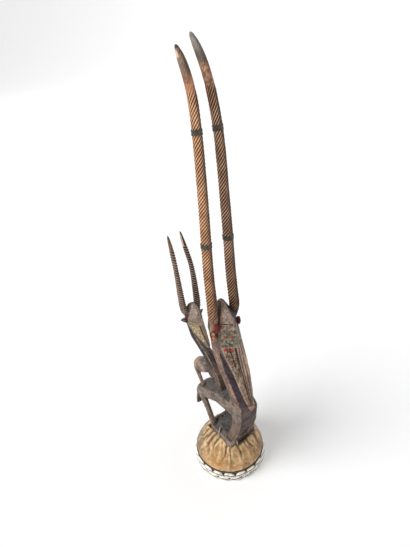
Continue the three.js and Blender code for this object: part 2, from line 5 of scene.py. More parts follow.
import bpy
import numpy as np
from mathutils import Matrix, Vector


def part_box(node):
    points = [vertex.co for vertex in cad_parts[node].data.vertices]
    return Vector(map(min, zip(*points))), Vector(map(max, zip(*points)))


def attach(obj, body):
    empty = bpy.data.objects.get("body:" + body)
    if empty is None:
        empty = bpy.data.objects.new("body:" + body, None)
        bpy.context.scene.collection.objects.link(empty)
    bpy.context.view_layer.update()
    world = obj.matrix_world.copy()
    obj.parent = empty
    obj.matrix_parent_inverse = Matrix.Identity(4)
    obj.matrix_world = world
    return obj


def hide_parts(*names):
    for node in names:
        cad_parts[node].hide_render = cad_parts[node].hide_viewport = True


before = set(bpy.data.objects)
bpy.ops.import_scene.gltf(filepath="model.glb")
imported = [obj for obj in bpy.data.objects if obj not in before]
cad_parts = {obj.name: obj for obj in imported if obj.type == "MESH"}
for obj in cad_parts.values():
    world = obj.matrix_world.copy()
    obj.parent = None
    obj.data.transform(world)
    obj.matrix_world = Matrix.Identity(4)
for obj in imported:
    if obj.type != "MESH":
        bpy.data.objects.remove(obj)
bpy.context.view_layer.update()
print("frame loaded")

# Places: the cord round the rim gives the cap's axis, and the carving's middle plane lies a little
# aside of it. Points of the carving are given as [ahead, left, up] from there, at the height of
# its plinth's top
place = {"carvingAside": 3, "plinthTop": 96, "plinthAhead": 6.5, "plinthHalfLength": 39.5,
         "plinthHalfWidth": 36}
cordLow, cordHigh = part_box("rim_cord")
capX = (cordLow.x + cordHigh.x) / 2
capY = (cordLow.y + cordHigh.y) / 2
carvingOrigin = np.array([capX, capY + place["carvingAside"] / 1000, place["plinthTop"] / 1000])


def carvingPoints(points):
    return np.asarray(points, float) / 1000 + carvingOrigin


def inCarving(points):
    return (points - carvingOrigin) * 1000


def unit(vectors):
    return vectors / np.linalg.norm(vectors, axis=-1, keepdims=True)


# Directions as the photo shows them: level to its right, and to its left, where the light is
photoRight = np.array([0.61, 0.79, 0])
lightSide = unit(np.array([-0.61, -0.79, 0.1]))


# Small tools for meshes
def deselectAll():
    bpy.ops.object.select_all(action="DESELECT")


def pickOnly(piece):
    deselectAll()
    piece.select_set(True)
    bpy.context.view_layer.objects.active = piece


def activeAs(name):
    piece = bpy.context.active_object
    piece.name = piece.data.name = name
    return piece


def duplicateAs(source, name):
    pickOnly(source)
    bpy.ops.object.duplicate()
    return activeAs(name)


def readPoints(piece, kind="co"):
    values = np.zeros(len(piece.data.vertices) * 3)
    piece.data.vertices.foreach_get(kind, values)
    return values.reshape(-1, 3)


def writePoints(piece, points):
    piece.data.vertices.foreach_set("co", np.ascontiguousarray(points, float).ravel())
    piece.data.update()


def applyModifier(piece, kind, **settings):
    modifier = piece.modifiers.new(kind.lower(), kind)
    for key, value in settings.items():
        setattr(modifier, key, value)
    pickOnly(piece)
    bpy.ops.object.modifier_apply(modifier=modifier.name)


def editAll(piece):
    pickOnly(piece)
    bpy.ops.object.mode_set(mode="EDIT")
    bpy.ops.mesh.select_all(action="SELECT")


def mergeAndFace(piece):
    editAll(piece)
    bpy.ops.mesh.remove_doubles(threshold=1e-6)
    bpy.ops.mesh.normals_make_consistent(inside=False)
    bpy.ops.object.mode_set(mode="OBJECT")


# A grid whose points are placed by a function of (u, v), both from 0 to 1
def gridShape(name, columns, rows, pointAt):
    deselectAll()
    bpy.ops.mesh.primitive_grid_add(x_subdivisions=columns, y_subdivisions=rows, size=2)
    piece = activeAs(name)
    flat = readPoints(piece)
    writePoints(piece, pointAt((flat[:, 0] + 1) / 2, (flat[:, 1] + 1) / 2))
    mergeAndFace(piece)
    return piece


def copyOfNode(node, name):
    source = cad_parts[node]
    hidden = source.hide_viewport
    source.hide_viewport = False
    piece = duplicateAs(source, name)
    source.hide_viewport = hidden
    piece.parent = None
    piece.hide_render = False
    for key in list(piece.keys()):
        if key.startswith("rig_"):
            del piece[key]
    mergeAndFace(piece)
    return piece


def shadeSmooth(piece, degrees):
    pickOnly(piece)
    bpy.ops.object.shade_smooth_by_angle(angle=math.radians(degrees))


def finishPiece(piece, node, material, smoothAngle):
    shadeSmooth(piece, smoothAngle)
    piece.data.materials.clear()
    piece.data.materials.append(material)
    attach(piece, "root")
    if node:
        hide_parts(node)


def ramp(value, low, high):
    t = np.clip((value - low) / (high - low), 0, 1)
    return t * t * (3 - 2 * t)


# Soft random lumps of a given size in metres, from 0 to 1
def lumps(points, size, seed):
    cells = 24
    table = np.random.default_rng(seed).random((cells, cells, cells))
    scaled = points / size
    cell = np.floor(scaled).astype(int)
    part = scaled - cell
    part = part * part * (3 - 2 * part)
    total = 0
    for corner in range(8):
        step = np.array([corner & 1, corner >> 1 & 1, corner >> 2 & 1])
        weight = np.prod(np.where(step, part, 1 - part), axis=1)
        index = (cell + step) % cells
        total = total + weight * table[index[:, 0], index[:, 1], index[:, 2]]
    return total


# How far each point stands proud of its neighbours, in mm: edges are above 0, hollows below
def proudness(piece, rounds):
    points = readPoints(piece)
    edges = np.zeros(len(piece.data.edges) * 2, int)
    piece.data.edges.foreach_get("vertices", edges)
    edges = edges.reshape(-1, 2)
    count = np.bincount(edges.ravel(), minlength=len(points))[:, None]
    smooth = points
    for _ in range(rounds):
        total = np.zeros_like(points)
        for axis in range(3):
            total[:, axis] = np.bincount(edges[:, 0], smooth[edges[:, 1], axis], len(points))
            total[:, axis] += np.bincount(edges[:, 1], smooth[edges[:, 0], axis], len(points))
        smooth = total / np.maximum(count, 1)
    return np.einsum("ij,ij->i", points - smooth, readPoints(piece, "normal")) * 1000


def linear(hexText):
    parts = [int(hexText[i:i + 2], 16) / 255 for i in (1, 3, 5)]
    return [((c + 0.055) / 1.055) ** 2.4 if c > 0.04045 else c / 12.92 for c in parts]


def plainColours(points, hexText):
    return np.ones((len(points), 3)) * linear(hexText)


# Paints one layer over another: each is a colour and how much of it lies on each point
def paintAll(colours, layers):
    for hexText, mask in layers:
        mask = np.clip(np.broadcast_to(mask, len(colours)), 0, 1)[:, None]
        colours[:] = colours * (1 - mask) + np.array(linear(hexText)) * mask


def storeColours(piece, colours, mask=1.0):
    layer = piece.data.color_attributes.new(name="patina", type="FLOAT_COLOR", domain="POINT")
    full = np.ones((len(colours), 4))
    full[:, :3] = colours
    full[:, 3] = mask
    layer.data.foreach_set("color", full.ravel())


# Adds a node: sockets by name or number as a number, a hex colour or another node's output, its
# own settings by keyword. Gives back its first output, or the numbered one
def addNode(material, kind, sockets=None, output=0, stops=(), **settings):
    tree = material.node_tree
    node = tree.nodes.new("ShaderNode" + kind)
    for key, value in settings.items():
        setattr(node, key, value)
    if stops:
        ramps = node.color_ramp
        while len(ramps.elements) < len(stops):
            ramps.elements.new(0.5)
        for element, (position, colour) in zip(ramps.elements, stops):
            element.position = position
            element.color = [*linear(colour), 1]
    for key, value in (sockets or {}).items():
        if isinstance(value, bpy.types.NodeSocket):
            tree.links.new(value, node.inputs[key])
        elif isinstance(value, str):
            node.inputs[key].default_value = [*linear(value), 1]
        else:
            node.inputs[key].default_value = value
    return node.outputs[output] if node.outputs else None


# Settings of a Mix node that mixes colours, and of one that multiplies them
mixed = {"output": 2, "data_type": "RGBA"}
multiplied = {"output": 2, "data_type": "RGBA", "blend_type": "MULTIPLY"}


# Materials. Their patterns are on Object coordinates in metres, so a scale of 250 is one of 4 mm
def newMaterial(name):
    material = bpy.data.materials.new(name)
    material.use_nodes = True
    material.node_tree.nodes.clear()
    return material, addNode(material, "TexCoord", output=3)


def closeMaterial(material, colour, roughness, height, bump, depth, **sockets):
    bumped = addNode(material, "Bump", {"Height": height, "Strength": bump, "Distance": depth})
    settings = {"Base Color": colour, "Roughness": roughness, "Normal": bumped}
    settings.update({key.replace("_", " "): value for key, value in sockets.items()})
    shader = addNode(material, "BsdfPrincipled", settings)
    addNode(material, "OutputMaterial", {"Surface": shader})
    return material


# Dense hardwood, carved, oiled and smoked, then handled for years: painted patina under mottling
# of 4 mm, and a dull shine. The grain, 1 mm wide and 11 mm long, is coarser than the real one, so
# that it shows
def patinatedWood(name):
    m, where = newMaterial(name)
    patina = addNode(m, "Attribute", attribute_name="patina")
    mottle = addNode(m, "TexNoise", {"Vector": where, "Scale": 260, "Detail": 5, "Roughness": 0.7})
    shade = addNode(m, "ValToRGB", {"Fac": mottle},
                    stops=[(0.32, "#7f7c7a"), (0.5, "#d2cecb"), (0.68, "#ffffff")])
    stretched = addNode(m, "Mapping", {"Vector": where, "Scale": (900, 900, 90)})
    grain = addNode(m, "TexNoise", {"Vector": stretched, "Scale": 1, "Detail": 3})
    lines = addNode(m, "ValToRGB", {"Fac": grain}, stops=[(0.35, "#b8b3ae"), (0.62, "#ffffff")])
    colour = addNode(m, "Mix", {0: 1.0, 6: patina, 7: shade}, **multiplied)
    colour = addNode(m, "Mix", {0: 0.55, 6: colour, 7: lines}, **multiplied)
    dull = addNode(m, "MapRange", {
        "Value": mottle, "From Min": 0.3, "From Max": 0.7, "To Min": 0.5, "To Max": 0.75})
    return closeMaterial(m, colour, dull, grain, 0.35, 0.0006, IOR=1.5, Specular_IOR_Level=0.3)


# The same wood cut into rope-like strands: dark in the cuts, rubbed light on the crests. The UV
# map counts strands across and beads along, a ragged noise of 3 mm breaks them up, and blotches
# of 22 mm and a shade that rises from the root lie over both
def ropeCarving(name, look):
    m, where = newMaterial(name)
    uv = addNode(m, "UVMap")
    across = addNode(m, "SeparateXYZ", {0: uv})
    # the grid has a row more at each end than the spine, which closes it
    ahead = addNode(m, "Math", {
        0: across.node.outputs[1], 1: 1 + 2 / look["rows"], 2: -1 / look["rows"]},
        operation="MULTIPLY_ADD")
    turns = {word: look[word] * 2 * math.pi for word in ("strands", "along", "beads")}
    slanted = addNode(m, "Math", {0: ahead, 1: turns["along"]}, operation="MULTIPLY")
    strand = addNode(m, "Math", {0: across, 1: turns["strands"], 2: slanted},
                     operation="MULTIPLY_ADD")
    wave = addNode(m, "Math", {0: strand}, operation="COSINE")
    bead = addNode(m, "Math", {0: ahead, 1: turns["beads"]}, operation="MULTIPLY")
    shifted = addNode(m, "Math", {0: bead, 1: strand}, operation="ADD")
    notch = addNode(m, "Math", {0: shifted}, operation="COSINE")
    deep = addNode(m, "Math", {0: notch, 1: look["notchShare"], 2: wave}, operation="MULTIPLY_ADD")
    rough = addNode(m, "TexNoise", {"Vector": where, "Scale": 330, "Detail": 4, "Roughness": 0.65})
    ragged = addNode(m, "Math", {0: rough, 1: 1.3, 2: deep}, operation="MULTIPLY_ADD")
    level = addNode(m, "MapRange", {"Value": ragged, "From Min": -0.7, "From Max": 2.1})
    cut = addNode(m, "ValToRGB", {"Fac": level}, stops=look["stops"])
    worn = addNode(m, "Attribute", attribute_name="patina")
    colour = addNode(m, "Mix", {0: worn.node.outputs["Alpha"], 6: worn, 7: cut}, **mixed)
    patches = addNode(m, "TexNoise", {"Vector": where, "Scale": 45, "Detail": 3})
    stain = addNode(m, "ValToRGB", {"Fac": patches}, stops=[(0.35, "#8a6a55"), (0.65, "#ffffff")])
    colour = addNode(m, "Mix", {0: look["blotch"], 6: colour, 7: stain}, **multiplied)
    rooted = addNode(m, "ValToRGB", {"Fac": ahead}, stops=look["rootShade"])
    colour = addNode(m, "Mix", {0: 1.0, 6: colour, 7: rooted}, **multiplied)
    return closeMaterial(m, colour, 0.6, ragged, 0.5, 0.0007, IOR=1.5, Specular_IOR_Level=0.3)


# Thin tinplate or brass sheet, hammered from behind every 2.5 mm, tarnished in clouds of 6 mm,
# with old paint caught in it in spots of 10 mm
def tarnishedSheet(name, look):
    m, where = newMaterial(name)
    dents = addNode(m, "TexVoronoi", {"Vector": where, "Scale": look["dentsPerMetre"]})
    cloud = addNode(m, "TexNoise", {"Vector": where, "Scale": 160, "Detail": 5, "Roughness": 0.7})
    tarnish = addNode(m, "ValToRGB", {"Fac": cloud}, stops=look["stops"])
    spots = addNode(m, "TexNoise", {"Vector": where, "Scale": 95, "Detail": 2})
    painted = addNode(m, "MapRange", {
        "Value": spots, "From Min": look["paintFrom"], "From Max": look["paintFrom"] + 0.06})
    colour = addNode(m, "Mix", {0: painted, 6: tarnish, 7: look["paint"]}, **mixed)
    hollow = addNode(m, "ValToRGB", {"Fac": dents},
                     stops=[(0.0, "#ffffff"), (0.55, "#d8d4cc"), (0.9, "#6f6a60")])
    colour = addNode(m, "Mix", {0: 0.8, 6: colour, 7: hollow}, **multiplied)
    worn = addNode(m, "Attribute", attribute_name="patina")
    colour = addNode(m, "Mix", {0: 1.0, 6: colour, 7: worn}, **multiplied)
    shine = addNode(m, "MapRange", {"Value": cloud, "To Min": 0.35, "To Max": 0.7})
    return closeMaterial(m, colour, shine, dents, 0.6, 0.0008, Metallic=0.55)


# Untanned hide, wetted and gathered over a pad, then dried: ochre, blotched every 14 mm, with
# painted shade in the folds and wrinkles of 2.4 mm. Its pores, 1.1 mm apart, are coarser than real
# ones
def gatheredHide(name):
    m, where = newMaterial(name)
    patina = addNode(m, "Attribute", attribute_name="patina")
    pores = addNode(m, "TexVoronoi", {"Vector": where, "Scale": 900})
    blotch = addNode(m, "TexNoise", {
        "Vector": where, "Scale": 70, "Detail": 6, "Roughness": 0.65, "Distortion": 0.8})
    shade = addNode(m, "ValToRGB", {"Fac": blotch}, stops=[(0.32, "#a98f78"), (0.6, "#ffffff")])
    colour = addNode(m, "Mix", {0: 1.0, 6: patina, 7: shade}, **multiplied)
    wrinkles = addNode(m, "TexNoise", {
        "Vector": where, "Scale": 420, "Detail": 4, "Roughness": 0.6})
    height = addNode(m, "Math", {0: pores, 1: 0.3, 2: wrinkles}, operation="MULTIPLY_ADD")
    return closeMaterial(m, colour, 0.7, height, 0.35, 0.0008, IOR=1.5, Sheen_Weight=0.15)


# Sea-snail shell, glazed cream white, soiled in patches of 5 mm. The dark slit is painted on, as
# painted shade in the opening; the back against the cap is painted darker, partly as painted shade
def cowrieShell(name):
    m, where = newMaterial(name)
    patina = addNode(m, "Attribute", attribute_name="patina")
    dirt = addNode(m, "TexNoise", {"Vector": where, "Scale": 190, "Detail": 4})
    soiled = addNode(m, "ValToRGB", {"Fac": dirt}, stops=[(0.34, "#b3a68a"), (0.5, "#ffffff")])
    colour = addNode(m, "Mix", {0: 0.7, 6: patina, 7: soiled}, **multiplied)
    return closeMaterial(m, colour, 0.28, dirt, 0.1, 0.0004, IOR=1.53, Coat_Weight=0.3)


# Twisted plant fibre or hide string: threads follow the UV map's twist, with fuzz of 1.4 mm
def twistedFibre(name, dark, light, threadsRound):
    m, where = newMaterial(name)
    uv = addNode(m, "UVMap")
    around = addNode(m, "SeparateXYZ", {0: uv})
    threads = addNode(m, "Math", {0: around, 1: threadsRound * 2 * math.pi}, operation="MULTIPLY")
    wave = addNode(m, "Math", {0: threads}, operation="COSINE")
    fuzz = addNode(m, "TexNoise", {"Vector": where, "Scale": 700, "Detail": 3})
    both = addNode(m, "Math", {0: wave, 1: 0.25, 2: fuzz}, operation="MULTIPLY_ADD")
    colour = addNode(m, "ValToRGB", {"Fac": both}, stops=[(0.2, dark), (0.75, light)])
    return closeMaterial(m, colour, 0.85, both, 0.6, 0.0005, Sheen_Weight=0.2)


# Forged or cast metal gone dull, or wax: blotched over a darker ground, its spots 2 to 4 mm
def oldMetal(name, dark, light, roughness, metallic, spotsPerMetre):
    m, where = newMaterial(name)
    cloud = addNode(m, "TexNoise", {
        "Vector": where, "Scale": spotsPerMetre, "Detail": 5, "Roughness": 0.7})
    colour = addNode(m, "ValToRGB", {"Fac": cloud}, stops=[(0.34, dark), (0.64, light)])
    shine = addNode(m, "MapRange", {
        "Value": cloud, "To Min": roughness - 0.12, "To Max": roughness + 0.12})
    return closeMaterial(m, colour, shine, cloud, 0.3, 0.0005, Metallic=metallic)


# Dyed sheep's wool, matted, in curls of 1.7 mm
def dyedWool(name, dark, light):
    m, where = newMaterial(name)
    fuzz = addNode(m, "TexNoise", {"Vector": where, "Scale": 600, "Detail": 4, "Roughness": 0.75})
    colour = addNode(m, "ValToRGB", {"Fac": fuzz}, stops=[(0.3, dark), (0.7, light)])
    return closeMaterial(m, colour, 0.95, fuzz, 0.9, 0.001, Sheen_Weight=0.1)


# Matt painted board, as a studio's floor, with a tooth of 2.5 mm
def paleBoard(name):
    m, where = newMaterial(name)
    tooth = addNode(m, "TexNoise", {"Vector": where, "Scale": 400, "Detail": 2})
    colour = addNode(m, "ValToRGB", {"Fac": tooth}, stops=[(0.0, "#e6e6e6"), (1.0, "#eaeaea")])
    return closeMaterial(m, colour, 0.9, tooth, 0.02, 0.0002,
                         Emission_Color="#ffffff", Emission_Strength=0.14)


woodMaterial = patinatedWood("smokedHardwood")
# Rope strands that climb round the horn, 6.5 mm from one to the next along it: the real ones are
# closer, about 5 mm, and are drawn as coarse as they need to be to show
doeRope = {"strands": 10, "along": 0, "beads": 154, "rows": 420}
kidRope = {"strands": 3, "along": 34, "beads": 1, "rows": 260, "notchShare": 0.0}
nearHornMaterial = ropeCarving("ropeCarvingTan", {
    **doeRope, "notchShare": 0.35, "blotch": 0.45,
    "rootShade": [(0.05, "#b3a297"), (0.45, "#fbf3ee")],
    "stops": [(0.08, "#4a2f1d"), (0.34, "#9e6f49"), (0.58, "#d6a47a"), (0.9, "#fbd9b4")]})
farHornMaterial = ropeCarving("ropeCarvingDark", {
    **doeRope, "notchShare": 0.25, "blotch": 0.6,
    "rootShade": [(0.05, "#cdbdb2"), (0.3, "#ffffff")],
    "stops": [(0.08, "#27180f"), (0.34, "#70503a"), (0.6, "#ac8468"), (0.9, "#e6c3a4")]})
kidNearHornMaterial = ropeCarving("ropeCarvingKidTan", {
    **kidRope, "blotch": 0.5,
    "rootShade": [(0.0, "#d8ccc4"), (0.3, "#ffffff")],
    "stops": [(0.1, "#2e2019"), (0.4, "#70584a"), (0.65, "#978071"), (0.9, "#c3ae9f")]})
kidFarHornMaterial = ropeCarving("ropeCarvingKidDark", {
    **kidRope, "blotch": 0.4,
    "rootShade": [(0.0, "#c8bab4"), (0.5, "#e6dad4")],
    "stops": [(0.2, "#120d0b"), (0.45, "#473931"), (0.66, "#98857a"), (0.9, "#ddccbd")]})
tinMaterial = tarnishedSheet("tarnishedTin", {
    "dentsPerMetre": 420, "paintFrom": 0.66, "paint": "#9c4a4c",
    "stops": [(0.3, "#665f58"), (0.5, "#b5aa9d"), (0.7, "#e6dacb")]})
brassMaterial = tarnishedSheet("tarnishedBrassSheet", {
    "dentsPerMetre": 380, "paintFrom": 0.9, "paint": "#7d5a3c",
    "stops": [(0.3, "#7f6f55"), (0.5, "#c8b48e"), (0.7, "#f4e6c6")]})
hideMaterial = gatheredHide("gatheredRawhide")
shellMaterial = cowrieShell("cowrieShell")
darkCordMaterial = twistedFibre("darkPlantFibre", "#2a1e15", "#6b543e", 12)
bandMaterial = twistedFibre("darkFibreBand", "#1b150f", "#55432f", 60)
lashingMaterial = twistedFibre("paleHideString", "#7d6450", "#dccab4", 12)
hornBandMaterial = oldMetal("darkIronBand", "#231f1c", "#5f5950", 0.55, 0.5, 240)
copperMaterial = oldMetal("handledCopperWire", "#5a3022", "#cf9673", 0.25, 0.9, 500)
woolMaterial = dyedWool("madderDyedWool", "#34080c", "#801c22")
sealMaterial = oldMetal("redSealingWax", "#7c1c1c", "#b8393a", 0.45, 0.0, 600)
nailMaterial = oldMetal("ironNail", "#1c1714", "#4b4038", 0.55, 0.7, 600)
floorMaterial = paleBoard("mattPaleBoard")
print("materials made")

# Camera: placed in metres from the cap's axis, so that it stays with the part
photoCamera = {"place": (0.5009, -0.3822, 0.8769), "look": (-0.7022, 0.4917, -0.5150),
               "up": (-0.3741, 0.3607, 0.8544), "focalPixels": 411, "imageHeight": 547,
               "sensor": 36, "seesTo": 50}


def makeCamera():
    data = bpy.data.cameras.new("photoCamera")
    item = bpy.data.objects.new("photoCamera", data)
    bpy.context.scene.collection.objects.link(item)
    look = Vector(photoCamera["look"]).normalized()
    right = look.cross(Vector(photoCamera["up"])).normalized()
    up = right.cross(look)
    matrix = item.matrix_world.copy()
    spot = Vector(photoCamera["place"]) + Vector((capX, capY, 0))
    for row in range(3):
        matrix[row] = (right[row], up[row], -look[row], spot[row])
    item.matrix_world = matrix
    data.sensor_width = photoCamera["sensor"]
    data.lens = photoCamera["sensor"] * photoCamera["focalPixels"] / photoCamera["imageHeight"]
    data.clip_end = photoCamera["seesTo"]
    bpy.context.scene.camera = item


makeCamera()


# An even path through given points, drawn as the spine of a horn or the run of a cord
def smoothPath(points, count):
    steps = 60
    points = np.asarray(points, float)
    full = np.vstack([2 * points[:1] - points[1:2], points, 2 * points[-1:] - points[-2:-1]])
    spans = np.linalg.norm(np.diff(full, axis=0), axis=1) ** 0.5
    knots = np.concatenate([[0], np.cumsum(spans)])

    def between(a, b, i, j, t):
        return a + (b - a) * ((t - knots[i]) / (knots[j] - knots[i]))[:, None]

    dense = []
    for i in range(len(points) - 1):
        t = np.linspace(knots[i + 1], knots[i + 2], steps, endpoint=False)
        p = full[i:i + 4]
        first = [between(p[k], p[k + 1], i + k, i + k + 1, t) for k in range(3)]
        second = [between(first[k], first[k + 1], i + k, i + k + 2, t) for k in range(2)]
        dense.append(between(second[0], second[1], i + 1, i + 2, t))
    dense = np.vstack(dense + [points[-1:]])
    run = np.concatenate([[0], np.cumsum(np.linalg.norm(np.diff(dense, axis=0), axis=1))])
    even = np.linspace(0, run[-1], count)
    return np.stack([np.interp(even, run, dense[:, axis]) for axis in range(3)], 1)


# Two directions across a path at each of its points, without sudden turns
def pathFrames(centres, start, closed=False):
    if closed:
        ahead = unit(np.roll(centres[:-1], -1, 0) - np.roll(centres[:-1], 1, 0))
        ahead = np.vstack([ahead, ahead[:1]])
    else:
        ahead = unit(np.gradient(centres, axis=0))
    across = np.zeros_like(centres)
    last = np.asarray(start, float)
    for i, direction in enumerate(ahead):
        last = last - direction * last.dot(direction)
        last = last / np.linalg.norm(last)
        across[i] = last
    return across, np.cross(ahead, across)


# A tube along a path in metres. radiusAt takes u round it and the number of the path's point
def tube(name, centres, frames, columns, radiusAt, closed=False, twist=0.0):
    across, other = frames
    last = len(centres) - 1
    rows = last if closed else last + 2

    def pointAt(u, v):
        row = np.rint(v * rows).astype(int)
        i = row if closed else np.clip(row - 1, 0, last)
        radius = radiusAt(u, i)
        if not closed:
            radius = np.where((row == 0) | (row == rows), 0, radius)
        angle = 2 * math.pi * u + twist * i / last
        return (centres[i] + across[i] * (np.cos(angle) * radius)[:, None]
                + other[i] * (np.sin(angle) * radius)[:, None])

    return gridShape(name, columns, rows, pointAt)


# Horns of the doe and of her kid: spines as [ahead, spread, height]
doeHorn = {
    "spine": [(-2, 17, 284), (1, 22, 300), (2.5, 26, 319), (1, 25.5, 348), (-2.5, 25, 393),
              (-4.5, 24, 469), (-6.5, 22.3, 536), (-8.5, 21.3, 594), (-12, 20, 646),
              (-20, 17.6, 694), (-31, 16.2, 726), (-43, 15, 748), (-57, 13.5, 768)],
    "root": 10.3, "top": 7.7, "taperFrom": 0.8, "cone": 0.08, "blunt": 5, "tip": 0.3,
    "carved": (0.0, 0.845), "rightHigher": 0.014, "leftRise": 7, "rows": 420, "columns": 96,
    "strands": 10, "along": 0, "cross": 154, "notch": 0.35, "turns": 7.7, "depth": 0.65,
    "inset": 0.45}
kidHorn = {
    "spine": [(-108, 12, 252), (-113, 17.5, 268), (-116, 19, 294), (-119.5, 19.3, 330),
              (-124, 18.7, 360), (-132, 17, 386), (-140, 15.5, 408), (-147, 15, 429)],
    "root": 8, "top": 4.9, "taperFrom": 0.6, "cone": 0.1, "blunt": 3.5, "tip": 0.12,
    "carved": (0.06, 0.83), "rightHigher": 0, "leftRise": 0, "rows": 260, "columns": 40,
    "strands": 3, "along": 34, "cross": 0, "notch": 0, "turns": 0, "depth": 0.75, "inset": 0.2}


def hornSpine(horn, side):
    spine = np.array(horn["spine"], float)
    low, high = spine[0, 2], spine[-1, 2]
    upper = np.maximum(0, (spine[:, 2] - low) / (high - low) - 0.75) / 0.25
    spine[:, 1] *= side
    spine[:, 2] += side * horn["leftRise"] * upper
    return carvingPoints(smoothPath(spine, horn["rows"] + 1))


def hornRadius(horn, t):
    shaft = horn["root"] + (horn["top"] - horn["root"]) * np.minimum(t / horn["taperFrom"], 1)
    end = np.maximum(t - horn["taperFrom"], 0) / (1 - horn["taperFrom"])
    base = 0.8 + 0.2 * np.minimum(t / horn["cone"], 1)
    return shaft * base * np.sqrt(np.maximum(1 - end ** horn["blunt"], horn["tip"]))


def carvedHorn(name, horn, side, material, layersFor):
    centres = hornSpine(horn, side)
    ahead = unit(np.gradient(centres, axis=0))
    across = unit(np.array([0, 1, 0]) - ahead * ahead[:, 1:2])
    t = np.arange(horn["rows"] + 1) / horn["rows"]
    low, high = horn["carved"]
    high += horn["rightHigher"] * (side < 0)
    fade = ramp(t, low - 0.03, low) * (1 - ramp(t, high - 0.015, high + 0.01))
    # the maker's knife never holds one depth
    uneven = 0.75 + 0.5 * lumps(centres, 0.012, 5)

    def radiusAt(u, i):
        wave = np.cos(2 * math.pi * (horn["strands"] * u + horn["along"] * i / horn["rows"]))
        crossing = np.cos(2 * math.pi * (horn["strands"] * u + horn["cross"] * i / horn["rows"]))
        cut = horn["depth"] * (wave + horn["notch"] * crossing) * uneven[i] * fade[i]
        rounded = np.sqrt(np.clip((horn["rows"] - i + 0.5) / 5, 0, 1))
        return (hornRadius(horn, t[i]) - horn["inset"] + cut) * rounded / 1000

    piece = tube(name, centres, (across, np.cross(ahead, across)), horn["columns"], radiusAt,
                 twist=horn["turns"] * 2 * math.pi)
    points = readPoints(piece)
    nearest = np.argmin(np.abs(points[:, None, 2] - centres[None, ::3, 2]), axis=1) * 3
    share = t[nearest]
    carved = ramp(share, low - 0.03, low) * (1 - ramp(share, high - 0.01, high + 0.01))
    colours = plainColours(points, "#8a7464")
    layers, bare = layersFor(points, readPoints(piece, "normal") @ lightSide, share)
    # painted shade: the strands are darker on the side away from the light
    shadedSide = ramp(unit(points - centres[nearest]) @ unit(photoRight), 0.2, 0.9) * carved
    paintAll(colours, [*layers, ("#2c1d14", shadedSide)])
    storeColours(piece, colours, carved * (1 - np.clip(bare, 0, 1)) * (1 - 0.7 * shadedSide))
    finishPiece(piece, "carved_figure", material, 60)


# Smooth ends: smoke-dark wood with cream bruises where the finish has gone, painted shade on the
# side away from the light and, partly, painted highlight on the side toward it. These give the
# layers of paint for a share of the way up, and how much of the strands' own colour they hide
def nearHornLayers(points, lit, share):
    cloud = lumps(points, 0.006, 11)
    end = ramp(share, 0.88, 0.91)
    # cream bruises put on the side toward the light: partly painted highlight
    bruiseAndHighlight = ramp(lit + (cloud - 0.5) * 0.5, 0.5, 0.7) * ramp(share, 0.955, 0.965)
    orange = (1 - ramp(share, 0.895, 0.915)) * ramp(share, 0.84, 0.855)
    root = 1 - ramp(share, 0.075, 0.09)
    # pale patches at the root, on the side toward the light: partly painted highlight
    paleAndHighlight = root * ramp(share, 0.035, 0.05) * ramp(lit, 0.2, 0.6) * ramp(cloud, 0.25, 0.5)
    rust = root * ramp(-lit, -0.3, 0.3) * ramp(cloud, 0.35, 0.55)
    return [
        ("#927d6a", ramp(cloud, 0.1, 0.6)),
        ("#6a584c", ramp(lumps(points, 0.0035, 14), 0.5, 0.75) * end * 0.6),
        # painted shade: the end is darker on the side away from the light
        ("#54473e", ramp(-lit, -0.2, 0.5) * end * 0.7),
        ("#ead2bb", bruiseAndHighlight * (1 - ramp(share, 0.98, 0.99))),
        ("#4a3f37", ramp(share, 0.985, 0.995)),
        ("#c08a66", orange * ramp(cloud, 0.1, 0.4)),
        ("#9a5a44", orange * ramp(lumps(points, 0.005, 16), 0.55, 0.7) * 0.6),
        ("#b9bda6", paleAndHighlight),
        ("#93523a", rust)], np.maximum(paleAndHighlight, rust) * 0.35


def farHornLayers(points, lit, share):
    cloud = lumps(points, 0.006, 12)
    middle = ramp(share, 0.83, 0.85) * (1 - ramp(share, 0.89, 0.93))
    rust = ramp(cloud, 0.4, 0.55) * ramp(share, 0.02, 0.04) * (1 - ramp(share, 0.09, 0.12))
    return [
        ("#8f877d", ramp(share, 0.86, 0.9)),
        ("#6b625b", ramp(cloud, 0.5, 0.75) * ramp(share, 0.87, 0.9) * 0.7),
        # painted shade: the end is darker on the side away from the light
        ("#57504a", ramp(-lit, -0.2, 0.5) * ramp(share, 0.86, 0.9) * 0.7),
        ("#9a7052", middle * 0.85),
        ("#cfa582", ramp(lumps(points, 0.003, 15), 0.5, 0.62) * middle),
        ("#b8562f", rust)], rust * 0.4


def kidNearHornLayers(points, lit, share):
    reddish = ramp(lumps(points, 0.005, 13), 0.4, 0.6) * (1 - ramp(share, 0.88, 0.92))
    return [
        ("#7f675b", ramp(share, 0.8, 0.86)),
        ("#93695c", reddish * ramp(share, 0.8, 0.84)),
        ("#3c332e", ramp(share, 0.955, 0.975)),
        ("#4f4138", 1 - ramp(share, 0.0, 0.1))], 0


def kidFarHornLayers(points, lit, share):
    end = ramp(share, 0.8, 0.84)
    # cream on the side toward the light: partly painted highlight
    creamAndHighlight = ramp(lit + (lumps(points, 0.005, 13) - 0.5) * 0.4, -0.1, 0.15) * end
    return [
        ("#443934", end),
        ("#efd6c2", creamAndHighlight * (1 - ramp(share, 0.965, 0.98))),
        ("#3f3733", ramp(share, 0.97, 0.985)),
        ("#3a302a", 1 - ramp(share, 0.0, 0.1))], 0


carvedHorn("doeHornRight", doeHorn, -1, nearHornMaterial, nearHornLayers)
carvedHorn("doeHornLeft", doeHorn, 1, farHornMaterial, farHornLayers)
carvedHorn("kidHornRight", kidHorn, -1, kidNearHornMaterial, kidNearHornLayers)
carvedHorn("kidHornLeft", kidHorn, 1, kidFarHornMaterial, kidFarHornLayers)
print("horns carved")

